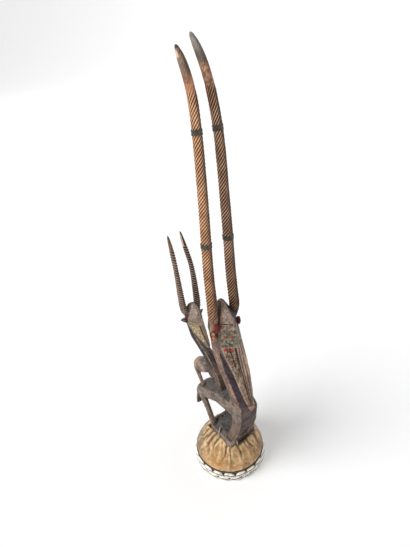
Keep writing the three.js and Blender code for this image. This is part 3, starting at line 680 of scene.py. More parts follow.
# The block of wood below the horns: a copy of the CAD figure without its horns, rounded over.
# Faces and grooves are placed by height above the plinth. Grooves are given as [share of the
# half width, from, to, width]
block = {"voxel": 1.15, "smoothRounds": 3, "mostTriangles": 190000, "doeHornCut": 344,
         "kidHornCut": 281.5, "waver": 0.45, "fineWaver": 0.25, "grooveDepth": 0.9,
         "strandPitch": 6.5}
faceOfDoe = {
    "height": [111, 114, 122, 134, 160, 184, 208, 226, 238, 253, 270, 294, 312, 331, 341],
    "half": [4.5, 6.5, 8.5, 11, 15.5, 18.5, 21.5, 23.5, 25, 26, 26, 22.5, 17, 8, 3],
    "back": [75.5, 73, 69, 61, 50, 40, 24, 4, -20, -33, -36, -33, -27, -17, -8],
    "grooves": [(-0.13, 122, 250, 0.9), (0.13, 122, 250, 0.9), (0.52, 128, 246, 0.8)]}
faceOfKid = {
    "height": [187, 201, 212, 224, 236, 247, 262, 275],
    "half": [3.5, 8, 13, 17, 19, 18, 12.5, 6.5],
    "back": [-64, -79, -96, -117, -127, -126, -122, -116],
    "grooves": [(-0.16, 192, 234, 0.8), (0.16, 192, 234, 0.8), (0.62, 200, 234, 0.7)]}
# What is the kid's: above the doe's back and behind a line between the kid and the doe's neck
doeBackLine = {"ahead": [-95, -70, -45, -15, 15], "height": [56, 76.5, 85.5, 99, 105]}
kidFrontLine = {"height": [100, 113, 138, 157, 172, 195, 224, 300],
                "ahead": [8, 10, -4, -24, -38, -42, -45, -55]}


def cutAbove(height):
    level = carvingOrigin[2] + height / 1000
    bpy.ops.mesh.bisect(plane_co=(0, 0, level), plane_no=(0, 0, 1), use_fill=True, clear_outer=True)


def makeBlock():
    piece = copyOfNode("carved_figure", "carvedBlock")
    editAll(piece)
    cutAbove(block["doeHornCut"])
    bpy.ops.mesh.select_all(action="DESELECT")
    bpy.ops.object.mode_set(mode="OBJECT")
    points = inCarving(readPoints(piece))
    kidHorns = (points[:, 2] > block["kidHornCut"] - 8) & (points[:, 0] < -90)
    for face in piece.data.polygons:
        face.select = any(kidHorns[v] for v in face.vertices)
    bpy.ops.object.mode_set(mode="EDIT")
    bpy.ops.mesh.select_mode(type="FACE")
    cutAbove(block["kidHornCut"])
    bpy.ops.mesh.select_all(action="SELECT")
    bpy.ops.mesh.normals_make_consistent(inside=False)
    bpy.ops.object.mode_set(mode="OBJECT")
    applyModifier(piece, "REMESH", mode="VOXEL", voxel_size=block["voxel"] / 1000)
    applyModifier(piece, "SMOOTH", factor=0.5, iterations=block["smoothRounds"])
    return piece


# The doe's head, the kid's head and the whole kid, each from 0 to 1 at each point
def blockParts(x, z):
    doeBack = np.interp(z, faceOfDoe["height"], faceOfDoe["back"])
    kidBack = np.interp(z, faceOfKid["height"], faceOfKid["back"])
    doeHead = ramp(x, doeBack - 3, doeBack - 1) * ramp(z, 108, 110) * ramp(x, -45, -43)
    kidHead = ramp(x, kidBack - 3, kidBack - 1) * ramp(z, 183, 186) * (1 - ramp(x, -52, -48))
    above = z - np.interp(x, doeBackLine["ahead"], doeBackLine["height"])
    behind = np.interp(z, kidFrontLine["height"], kidFrontLine["ahead"]) - x
    kid = np.maximum(ramp(above, 2, 5) * ramp(behind, -1, 1), kidHead)
    return doeHead, kidHead, kid * (1 - doeHead * (x > -45))


# A groove cut down a face at a share of its half width, between two heights
def groove(local, face, share, low, high, width):
    half = np.interp(local[:, 2], face["height"], face["half"])
    aside = (local[:, 1] - share * half) / width
    ends = ramp(local[:, 2], low - 1, low + 1) * (1 - ramp(local[:, 2], high - 1, high + 1))
    return np.exp(-aside ** 2) * ends


# The strands of the near horn run out over its foot on the doe's head
def hornFootLayers(points, local, facing, cloud, fine):
    x, y, z = local.T
    spine = hornSpine(doeHorn, -1)
    run = unit(spine[8] - spine[0])
    up = (points - spine[0]) @ run
    offAxis = np.linalg.norm(points - spine[0] - up[:, None] * run, axis=1) * 1000 - doeHorn["root"]
    foot = (1 - ramp(offAxis, 2, 5)) * ramp(up * 1000, -32, -24) * (1 - ramp(facing, 0.8, 0.92))
    strands = np.cos(2 * math.pi * (z - local @ photoRight) / block["strandPitch"])
    low = foot * (1 - ramp(z, 306, 316))
    return [
        ("#b98962", foot * 0.9),
        ("#4b3022", foot * ramp(strands + fine - 0.5, -0.1, 0.6) * 0.85),
        ("#a0463a", low * ramp(y + x, -26, -16) * ramp(cloud, 0.3, 0.6) * 0.8),
        # pale speckles on the side toward the light: partly painted highlight
        ("#c3c2a6", low * ramp(-y - x, 26, 34) * ramp(fine, 0.5, 0.6) * 0.8)]


# Cuts the grooves of the faces and lets the surface waver as hand carving does
def carveBlock(piece, points, normals, fronts):
    cuts = np.zeros(len(points))
    for face, front in zip((faceOfDoe, faceOfKid), fronts):
        for cut in face["grooves"]:
            cuts = np.maximum(cuts, groove(inCarving(points), face, *cut) * front)
    waver = (lumps(points, 0.009, 21) - 0.5) * block["waver"]
    waver += (lumps(points, 0.0035, 22) - 0.5) * block["fineWaver"]
    away = waver - cuts * block["grooveDepth"]
    writePoints(piece, points + normals * (away / 1000)[:, None])
    return cuts


def dressBlock(piece):
    points = readPoints(piece)
    normals = readPoints(piece, "normal")
    local = inCarving(points)
    x, y, z = local.T
    nx, ny, nz = normals.T
    doeHead, kidHead, kid = blockParts(x, z)
    doeFront = doeHead * ramp(nx, 0.1, 0.35)
    kidFront = kidHead * ramp(nx, 0.1, 0.35)
    cuts = carveBlock(piece, points, normals, (doeFront, kidFront))
    proud = proudness(piece, 4)
    cloud = lumps(points, 0.011, 23)
    fine = lumps(points, 0.004, 24)
    patchy = 0.6 * cloud + 0.4 * fine
    side = ramp(np.abs(ny), 0.35, 0.7)
    ahead = ramp(nx, 0.45, 0.75)
    up = ramp(nz, 0.45, 0.8)
    colours = plainColours(points, "#6b5d54")

    # doe: flanks pinkish brown, back blue-grey, neck reddish on the sides and purple-brown ahead
    body = (z > 1) * (1 - doeHead) * (1 - kid)
    neck = body * ramp(z, 104, 125)
    fore = body * (1 - ramp(z, 100, 112)) * ramp(x, 20, 30)
    hind = body * (1 - ramp(z, 56, 66)) * (1 - ramp(x, -15, -10))
    paintAll(colours, [
        ("#93887f", body * side * ramp(patchy, 0.15, 0.6)),
        ("#6b6866", body * up * ramp(z, 60, 75) * ramp(patchy, 0.2, 0.5)),
        ("#7a6050", body * side * ramp(patchy, 0.55, 0.8) * 0.6),
        ("#8c7062", neck * side),
        ("#a98a7b", neck * side * ramp(patchy, 0.5, 0.72)),
        ("#5d4a44", neck * side * ramp(-fine, -0.4, -0.2) * 0.7),
        ("#5c505b", neck * ahead),
        ("#6c5f64", neck * ahead * ramp(patchy, 0.5, 0.75) * 0.8),
        ("#3c3030", neck * ahead * ramp(-patchy, -0.45, -0.25) * 0.8),
        # the front faces of the forelegs and the hollow between them are painted dark, partly as
        # painted shade
        ("#5f4e47", fore * ahead),
        ("#3f3430", fore * ahead * ramp(fine, 0.5, 0.7) * 0.8),
        ("#7d6a5f", fore * ahead * ramp(cloud, 0.6, 0.8) * 0.6),
        ("#806b5e", fore * side * (1 - ramp(z, 60, 80))),
        ("#5f5149", hind * ahead),
        ("#7a5a4c", hind * side * ramp(fine, 0.5, 0.7) * 0.7)])

    # plinth: dusty grey on top, paler at the worn near corner and down its sides; its dark front
    # is painted shade
    plinth = 1 - ramp(z, 0.5, 2.5)
    front = plinth * ramp(nx, 0.3, 0.6) * (1 - up)
    nearCorner = ramp(x - y * 0.8, 52, 72)
    paintAll(colours, [
        ("#787572", plinth * up),
        ("#464544", plinth * up * ramp(patchy, 0.5, 0.75) * 0.8),
        ("#90807a", plinth * (1 - up)),
        # painted shade on the plinth's front face
        ("#3a3029", front),
        ("#6f5b49", front * ramp(fine, 0.58, 0.72) * 0.8),
        ("#a3968f", plinth * up * ramp(-y, 21, 27) * ramp(x, 2, 14) * 0.85),
        ("#b8a69b", plinth * nearCorner * 0.85)])

    # doe's head: bare forehead, black far plane, pale lower face with dark cuts, rusty cheek
    brow = doeHead * ramp(z, 280, 284)
    farPlaneShade = ramp(y - np.interp(z, [299, 304], [10, 0]), -0.7, 0.7)
    forehead = brow * doeFront * (1 - farPlaneShade)
    lower = doeHead * (1 - ramp(z, 252, 256))
    lowerFace = lower * doeFront
    nearEdgeHighlight = ramp(-y / np.interp(z, faceOfDoe["height"], faceOfDoe["half"]), 0.82, 0.92)
    rust = np.exp(-(((x - 8) / 14) ** 2 + ((z - 262) / 14) ** 2)) * ramp(fine, 0.35, 0.6)
    cheek = doeHead * side * ramp(-ny, 0.3, 0.6) * (1 - doeFront)
    paintAll(colours, [
        ("#7d6757", doeHead),
        ("#b7a396", forehead),
        ("#d0bcaf", forehead * ramp(fine, 0.5, 0.75) * 0.6),
        ("#94806f", forehead * ramp(lumps(points, 0.007, 26), 0.55, 0.75) * 0.5),
        # the brow's far plane, turned from the light, is painted near-black: partly painted shade
        ("#1c120c", brow * farPlaneShade),
        ("#c9ab97", lowerFace),
        ("#e6c8b2", lowerFace * ramp(patchy, 0.45, 0.75)),
        ("#a07c67", lowerFace * ramp(-y, -24, -4) * ramp(lumps(points, 0.006, 27), 0.5, 0.7) * 0.5),
        # painted highlight: the near edge of the lower face, turned toward the light, is painted
        # pale
        ("#ead0ba", lower * nearEdgeHighlight * ramp(nx, 0.0, 0.2)),
        ("#b2897a", lowerFace * np.exp(-(y / 1.6) ** 2) * 0.8),
        ("#6a2f22", lowerFace * groove(local, faceOfDoe, -0.27, 160, 251, 1.1) * 0.8),
        ("#2c1b12", doeHead * np.clip(cuts * 1.5, 0, 1)),
        ("#a5654c", rust * ramp(-y, 8, 14) * (1 - doeFront) * (1 - kid)),
        ("#57453b", cheek * 0.8)])
    paintAll(colours, hornFootLayers(points, local, nx, cloud, fine))

    # the muzzle is rubbed to the rust; on its far side a small white spot is a painted highlight,
    # beside a dark spot
    muzzle = doeHead * (1 - ramp(z, 122, 129))
    paintAll(colours, [
        ("#8a4f33", muzzle * ramp(fine, 0.35, 0.6)),
        ("#d08a5c", muzzle * ramp(lumps(points, 0.002, 31), 0.6, 0.75)),
        # painted highlight
        ("#fff6ea", muzzle * np.exp(-((y - 6.8) ** 2 + (z - 116) ** 2) / 1.6)),
        ("#17100d", muzzle * np.exp(-((y - 4.6) ** 2 + (z - 119.5) ** 2) / 2.2))])

    # kid: dusty purple-black neck, pale rump with an orange rub, yellowish head and a far side in
    # shade. Its near ear is reddish
    neck = kid * (1 - kidHead)
    post = kid * ramp(x, -60, -45) * (1 - ramp(z, 165, 185))
    nape = neck * ramp(-nx, 0.4, 0.7) * ramp(z, 145, 155) * (1 - ramp(z, 188, 198))
    rub = np.exp(-(((x + 106) / 9) ** 2 + ((z - 128) / 7) ** 2 + ((y + 11) / 9) ** 2))
    ear = ramp(-y, 15, 17) * ramp(-x, 100, 103) * ramp(z, 236, 238) * (1 - ramp(z, 262, 266))
    paintAll(colours, [
        ("#776c67", kid),
        ("#72574f", post * (0.6 + 0.4 * ramp(fine, 0.3, 0.6))),
        ("#30292e", neck * side * ramp(z, 140, 155)),
        ("#353137", neck * ahead * ramp(z, 150, 165)),
        ("#c9b2a8", nape),
        ("#b9a691", kid * (1 - ramp(z, 128, 140)) * ramp(-x, 55, 70) * ramp(patchy, 0.2, 0.6)),
        ("#c99155", kid * np.clip(rub * 1.6, 0, 1) * ramp(fine, 0.25, 0.5)),
        ("#6d3a2e", kid * (1 - ramp(z, 92, 104)) * ramp(fine, 0.3, 0.6) * 0.8),
        ("#b5a496", kidHead * kidFront),
        ("#cbbaaa", kidHead * kidFront * ramp(patchy, 0.5, 0.75)),
        ("#c8ab9a", kidFront * ramp(y, 1, 4) * (1 - ramp(z, 234, 240))),
        ("#e3c294", kidFront * np.exp(-((z - 238.5) / 1.1) ** 2) * 0.9),
        ("#2e231d", kidHead * ramp(nx, 0.0, 0.3) * ramp(y, 6, 10) * ramp(z, 238, 244)),
        ("#33251d", kidHead * np.clip(cuts * 1.2, 0, 1)),
        ("#8a5a4c", ear),
        ("#4a2320", ear * ramp(nx, 0.1, 0.5))])

    # no patch of the old finish is as dark as the next; edges are rubbed and hollows hold dirt
    colours *= (0.8 + 0.4 * ramp(lumps(points, 0.016, 25) * 0.6 + cloud * 0.4, 0.3, 0.7))[:, None]
    edge = ramp(proud, 0.05, 0.22) * (0.35 + 0.5 * ramp(fine, 0.35, 0.7))
    paintAll(colours, [
        ("#b39a87", edge * (1 - brow * ramp(y, 1, 3))),
        ("#2b211b", ramp(-proud, 0.05, 0.25) * 0.75)])
    storeColours(piece, colours)
    triangles = 2 * len(piece.data.polygons)
    applyModifier(piece, "DECIMATE", ratio=min(1, block["mostTriangles"] / triangles))
    finishPiece(piece, "carved_figure", woodMaterial, 60)


blockPiece = makeBlock()
print("block of", len(blockPiece.data.polygons), "faces")
dressBlock(blockPiece)
print("block painted")

# Sheets of tin and brass on the faces: edge points as [height, right end, left end], pressed onto
# the wood from ahead, then hammered up from behind. A dip lowers the left end
sheets = {
    "browPlate": {
        "rows": [(303.5, -19.3, 5), (299, -20.4, 9.5), (290, -22.4, 12.5), (283, -23.6, 14)],
        "node": "brow_plate", "slot": "tin", "grid": (70, 60), "pitch": 3.6, "dip": 0},
    "nosePlate": {
        "rows": [(281.5, -23.7, 12.7), (270, -25.2, 18.5), (258, -25.2, 22.8), (253, -25.2, 23.8)],
        "node": "nose_plate", "slot": "tin", "grid": (90, 60), "pitch": 4.2, "dip": 12},
    "noseStrip": {
        "rows": [(251.5, -25.0, -4.0), (238, -23.9, -4.2), (226, -22.3, -4.6),
                 (208, -19.2, -5.6), (184, -13.4, -6.8), (172, -9.0, -7.4)],
        "node": "nose_strip", "slot": "tin", "grid": (36, 140), "pitch": 4.0, "dip": 0},
    "kidFacePlate": {
        "rows": [(235.5, -18.2, -4.2), (224, -15.8, -4.1), (212, -11.7, -3.6), (201, -6.8, -3)],
        "node": "kid_face_plate", "slot": "brass_sheet", "grid": (40, 80), "pitch": 3.4, "dip": 0,
        "castFrom": -46}}
sheetWork = {"gauge": 0.5, "off": 0.5, "emboss": 0.28, "border": 1.1, "dipReach": 25,
             "castFrom": 150}
sheetMaterials = {"tin": tinMaterial, "brass_sheet": brassMaterial}


def sheetEdges(rows, z):
    return np.interp(z, rows[:, 0], rows[:, 1]), np.interp(z, rows[:, 0], rows[:, 2])


def sheetDip(sheet, y):
    return sheet["dip"] * np.maximum(y, 0) / sheetWork["dipReach"]


# Old paint and dirt on the sheets, u being the share of the way from the right edge to the left
def sheetLayers(name, points, u, cloud):
    fine = lumps(points, 0.0026, 43)
    _, y, z = inCarving(points).T
    if name == "browPlate":
        return [
            ("#efe0dd", 0.9),
            ("#7c6f6b", ramp(lumps(points, 0.0017, 42), 0.52, 0.68) * 0.75),
            ("#3b302b", ramp(z, 301.2, 302.2) * ramp(fine, 0.2, 0.5)),
            ("#b2576a", ramp(-y, 15, 19) * ramp(cloud, 0.35, 0.6) * (1 - ramp(z, 300, 306))),
            ("#87718a", ramp(y, -9, -2) * (1 - ramp(z, 288, 294)) * ramp(np.sin(z * 2.2), 0, 0.5))]
    if name == "nosePlate":
        return [
            ("#dadccb", 0.9),
            ("#a8ad9a", ramp(cloud, 0.5, 0.7)),
            ("#80826f", ramp(fine, 0.56, 0.7) * 0.7)]
    if name == "noseStrip":
        return [
            ("#f2e6d3", 0.8),
            ("#827a68", ramp(fine, 0.55, 0.68) * 0.8),
            ("#c4625f", ramp(cloud, 0.6, 0.72) * ramp(z, 195, 215)),
            ("#6b2a22", np.exp(-((u - 0.56) / 0.07) ** 2) * ramp(z, 200, 215)),
            ("#4a251d", ramp(u, 0.86, 0.95))]
    return []


def pressedSheet(name, sheet):
    rows = np.array(sheet["rows"])[::-1]
    lowest, highest = rows[0, 0], rows[-1, 0]

    def pointAt(u, v):
        z = lowest + v * (highest - lowest)
        right, left = sheetEdges(rows, z)
        y = right + u * (left - right)
        z = z - sheetDip(sheet, y) * (1 - v)
        ragged = 0.35 * np.sin(z * 1.9 + 3 * u) * np.abs(2 * u - 1) ** 6
        x = np.full_like(z, sheet.get("castFrom", sheetWork["castFrom"]))
        return carvingPoints(np.stack([x, y + ragged, z], 1))

    piece = gridShape(name, *sheet["grid"], pointAt)
    applyModifier(piece, "SHRINKWRAP", target=blockPiece, wrap_method="PROJECT",
                  use_project_x=True, use_negative_direction=True, use_positive_direction=False,
                  offset=sheetWork["off"] / 1000)
    applyModifier(piece, "SMOOTH", factor=0.5, iterations=3, use_y=False, use_z=False)
    points = readPoints(piece)
    _, y, z = inCarving(points).T
    right, left = sheetEdges(rows, z)
    u = (y - right) / (left - right)
    foot = lowest - sheetDip(sheet, y)
    inset = np.minimum(np.minimum(u, 1 - u) * (left - right), np.minimum(z - foot, highest - z))
    turn = 2 * math.pi / sheet["pitch"]
    relief = np.cos(turn * (y + 0.6 * z)) * np.cos(turn * (z - 0.6 * y)) * ramp(inset, 1.2, 2.2)
    border = np.exp(-((inset - sheetWork["border"]) / 0.5) ** 2)
    points[:, 0] += (relief + border) * sheetWork["emboss"] / 1000
    writePoints(piece, points)
    applyModifier(piece, "SOLIDIFY", thickness=sheetWork["gauge"] / 1000, offset=-1)
    points = readPoints(piece)
    _, y, z = inCarving(points).T
    right, left = sheetEdges(rows, z)
    cloud = lumps(points, 0.005, 41)
    colours = plainColours(points, "#ffffff")
    paintAll(colours, sheetLayers(name, points, (y - right) / (left - right), cloud))
    colours *= (0.78 + 0.22 * ramp(cloud, 0.2, 0.6))[:, None]
    storeColours(piece, colours)
    finishPiece(piece, sheet["node"], sheetMaterials[sheet["slot"]], 40)
    return piece


plates = {name: pressedSheet(name, sheet) for name, sheet in sheets.items()}
print("sheets pressed")

# Iron nails round the tin and drops of red wax on it and below it, placed as [aside, height]
studs = {
    "nail": {"radius": 0.9, "flatness": 0.6, "slot": "dark_band", "material": nailMaterial,
             "places": [(-14.8, 302), (-1, 301), (-22, 285), (9, 286), (-23, 279), (-0.5, 279.5),
                        (19, 250), (-23, 256), (-12.5, 254.8), (-8.6, 176), (-9.5, 244)]},
    "waxSeal": {"radius": 3.0, "flatness": 0.28, "slot": "tin", "material": sealMaterial,
                "places": [(-17.3, 275), (-7.4, 274), (11.5, 263), (-21.5, 248), (-10.5, 246.5),
                           (3.7, 243)]}}


def studAt(name, y, z, stud):
    deselectAll()
    bpy.ops.mesh.primitive_uv_sphere_add(segments=14, ring_count=8, radius=stud["radius"] / 1000)
    piece = activeAs(name)
    origin = carvingPoints([(sheetWork["castFrom"], y, z)])[0]
    best = None
    for target in [blockPiece, *plates.values()]:
        hit, spot, normal, _ = target.ray_cast(Vector(origin), Vector((-1, 0, 0)))
        if hit and (best is None or spot.x > best[0].x):
            best = spot.copy(), normal.copy()
    spot, normal = best
    turn = Vector((0, 0, 1)).rotation_difference(normal)
    points = readPoints(piece)
    points[:, 2] *= stud["flatness"]
    points += (lumps(points + np.array([y, z, 0]), 0.0011, 51) - 0.5)[:, None] * 0.0003
    writePoints(piece, [tuple(turn @ Vector(point) + spot) for point in points])
    finishPiece(piece, None, stud["material"], 60)


for word, stud in studs.items():
    for i, (y, z) in enumerate(stud["places"]):
        studAt(f"{word}{i + 1}", y, z, stud)
print("nails and seals set")

# Iron bands on the doe's horns: a collar with two raised lips
hornBands = {"heights": {"lower": 463, "upper": 647.3}, "high": 8.2, "clear": 0.3, "wall": 0.8}


def hornBandPiece(name, node, side, height):
    centres = hornSpine(doeHorn, side)
    middle = np.argmin(np.abs(centres[:, 2] - carvingOrigin[2] - height / 1000))
    ahead = unit(centres[middle + 1] - centres[middle - 1])
    across = unit(np.array([0, 1, 0]) - ahead * ahead[1])
    other = np.cross(ahead, across)
    inner = hornRadius(doeHorn, middle / doeHorn["rows"]) + hornBands["clear"]
    outer = inner + hornBands["wall"]
    half = hornBands["high"] / 2
    lip = [(inner, -half), (outer - 0.15, -half), (outer, 0.4 - half), (outer, 1.4 - half),
           (outer - 0.3, 1.8 - half)]
    profile = np.array(lip + [(reach, -up) for reach, up in reversed(lip)] + lip[:1])

    def pointAt(u, v):
        index = np.rint(v * (len(profile) - 1)).astype(int)
        angle = 2 * math.pi * u
        reach, up = profile[index].T
        return centres[middle] + (across * (np.cos(angle) * reach)[:, None]
                                  + other * (np.sin(angle) * reach)[:, None]
                                  + ahead * up[:, None]) / 1000

    piece = gridShape(name, 48, len(profile) - 1, pointAt)
    finishPiece(piece, node, hornBandMaterial, 35)


for word, side in (("right", -1), ("left", 1)):
    for level, height in hornBands["heights"].items():
        hornBandPiece(f"hornBand_{word}_{level}", f"horn_band_{word}_{level}", side, height)
print("horn bands fitted")

# Copper wire wound round the right ear, and tufts of wool beside the horns
earCoil = {"ringRadius": 9.4, "wire": 1.0, "turns": 5, "stepsInTurn": 60, "spread": 6.0,
           "place": (8, -33, 277), "tilt": -0.25}
woolTufts = {"right": (15, -27.5, 297), "left": (14.5, 25.3, 290), "size": (5.2, 3.6, 8.0),
             "shag": 0.4}


def copperCoil():
    t = np.linspace(0, 1, earCoil["turns"] * earCoil["stepsInTurn"] + 1)
    angle = 2 * math.pi * earCoil["turns"] * t
    wobble = 0.7 * np.sin(3.3 * angle / earCoil["turns"] + 1) + 0.5 * np.sin(7 * t * math.pi)
    reach = earCoil["ringRadius"] + wobble
    tilt = earCoil["tilt"]
    ahead = reach * np.cos(angle)
    aside = (t - 0.5) * earCoil["spread"] + 1.2 * np.sin(angle * 0.93)
    path = np.stack([ahead * math.cos(tilt) - aside * math.sin(tilt),
                     ahead * math.sin(tilt) + aside * math.cos(tilt), reach * np.sin(angle)], 1)
    centres = carvingPoints(path + np.array(earCoil["place"]))
    piece = tube("copperCoil", centres, pathFrames(centres, (0, 1, 0.1)), 10,
                 lambda u, i: np.full(len(u), earCoil["wire"] / 1000))
    finishPiece(piece, "ear_ring", copperMaterial, 60)


def woolPiece(word):
    deselectAll()
    bpy.ops.mesh.primitive_ico_sphere_add(subdivisions=6, radius=1)
    piece = activeAs(f"woolTuft_{word}")
    points = readPoints(piece)
    shag = lumps(points, 0.16, 61) ** 2 + 0.5 * lumps(points, 0.4, 62)
    points *= 1 + (shag[:, None] - 0.5) * woolTufts["shag"]
    points *= np.array(woolTufts["size"])
    points[:, 0] += 0.02 * points[:, 2] ** 2
    writePoints(piece, carvingPoints(points + np.array(woolTufts[word])))
    finishPiece(piece, f"wool_tuft_{word}", woolMaterial, 180)


copperCoil()
woolPiece("right")
woolPiece("left")
print("ear fittings made")

# Lashings: hide string out of its hole, over the plinth's edge and down to the hide. The side one
# is tied on both sides
lashings = {
    "side": [(-1, 25, -7), (-1, 25, 0.5), (-0.1, 27, 2.4), (7.2, 35.6, 2.2), (8.6, 38, -1),
             (8.6, 38.2, -13.5)],
    "front": [(39, -19, -5), (46.3, -19, -5), (48.4, -19, -6.2), (48.5, -19, -13.5)]}
string = {"radius": 1.5, "plies": 2, "pitch": 5.0}


def twistedString(name, centres, look, closed=False, columns=24):
    length = np.linalg.norm(np.diff(centres, axis=0), axis=1).sum() * 1000
    turns = max(1, round(length / look["pitch"]))
    start = (0, 0, 1) if closed else (0.3, 0.9, 0.2)

    def radiusAt(u, i):
        return look["radius"] * (0.76 + 0.24 * np.abs(np.cos(look["plies"] * math.pi * u))) / 1000

    return tube(name, centres, pathFrames(centres, start, closed), columns, radiusAt, closed,
                twist=turns * 2 * math.pi)


for name, node, kind, side in (("sideLashingRight", "side_lashing_right", "side", -1),
                               ("sideLashingLeft", "side_lashing_left", "side", 1),
                               ("frontLashing", "front_lashing", "front", 1)):
    path = smoothPath(np.array(lashings[kind]) * (1, side, 1), 70)
    finishPiece(twistedString(name, carvingPoints(path), string), node,
                lashingMaterial, 60)
print("lashings tied")

# Rim: a dark fibre band behind the shells and a cord along its top
rim = {"radius": 74.8, "wall": 1.6, "low": 0.5, "high": 24.5, "rowsUp": 30, "cordPitch": 5}


def roundCap(reach, angle, z):
    return np.stack([capX + reach / 1000 * np.cos(angle), capY + reach / 1000 * np.sin(angle),
                     z / 1000], 1)


def makeBand():
    low, high, inner = rim["low"], rim["high"], rim["radius"]
    outer = inner + rim["wall"]
    steps = [(outer, low + (high - low) * k / rim["rowsUp"]) for k in range(rim["rowsUp"] + 1)]
    profile = np.array([(inner, low), *steps, (inner, high), (inner, low)])

    def pointAt(u, v):
        reach, z = profile[np.rint(v * (len(profile) - 1)).astype(int)].T
        ribbed = reach + 0.25 * np.cos(2.6 * z) * (reach > inner) - 0.1
        return roundCap(ribbed, 2 * math.pi * u, z)

    piece = gridShape("rimBand", 180, len(profile) - 1, pointAt)
    finishPiece(piece, "rim_band", bandMaterial, 40)


def makeCord():
    thick = (cordHigh.z - cordLow.z) * 1000
    reach = (cordHigh.x - cordLow.x) * 500 - thick / 2
    angle = np.linspace(0, 2 * math.pi, 481)
    path = roundCap(reach, angle, np.full(len(angle), (cordHigh.z + cordLow.z) * 500))
    cord = {"radius": thick / 2 + 0.1, "plies": 2, "pitch": rim["cordPitch"]}
    piece = twistedString("rimCord", path, cord, True, 16)
    finishPiece(piece, "rim_cord", darkCordMaterial, 60)


makeBand()
makeCord()
print("rim made")

# Cap: hide gathered up to the plinth and puffed up beside it. Creases as [azimuth at the plinth,
# azimuth at the rim, depth, half width, height where it dies out]
capLook = {
    "voxel": 1.4, "smoothRounds": 32, "wrinkle": 0.9, "puffHeight": 85, "puffReach": 9,
    "creases": [(-32, -34, 3.2, 2.5, 42), (-19, -14.5, 2.6, 2.25, 50), (11.5, 12.5, 2.4, 2.25, 56),
                (-43, -60, 2.2, 2.75, 48), (-108, -84, 2.2, 3.0, 60), (-1, 3, 1.6, 2.5, 58),
                (30, 33, 2.4, 3.0, 44), (52, 49, 2.8, 2.75, 48), (75, 80, 2.6, 3.0, 44),
                (101, 99, 3.0, 3.0, 46), (124, 129, 2.4, 3.25, 42), (149, 146, 2.8, 2.75, 46),
                (171, 175, 2.6, 3.0, 44), (197, 193, 3.0, 3.0, 42), (218, 222, 2.6, 3.0, 46),
                (236, 233, 2.2, 2.5, 52), (-76, -70, 2.0, 3.0, 56), (-92, -98, 2.2, 2.75, 50)]}


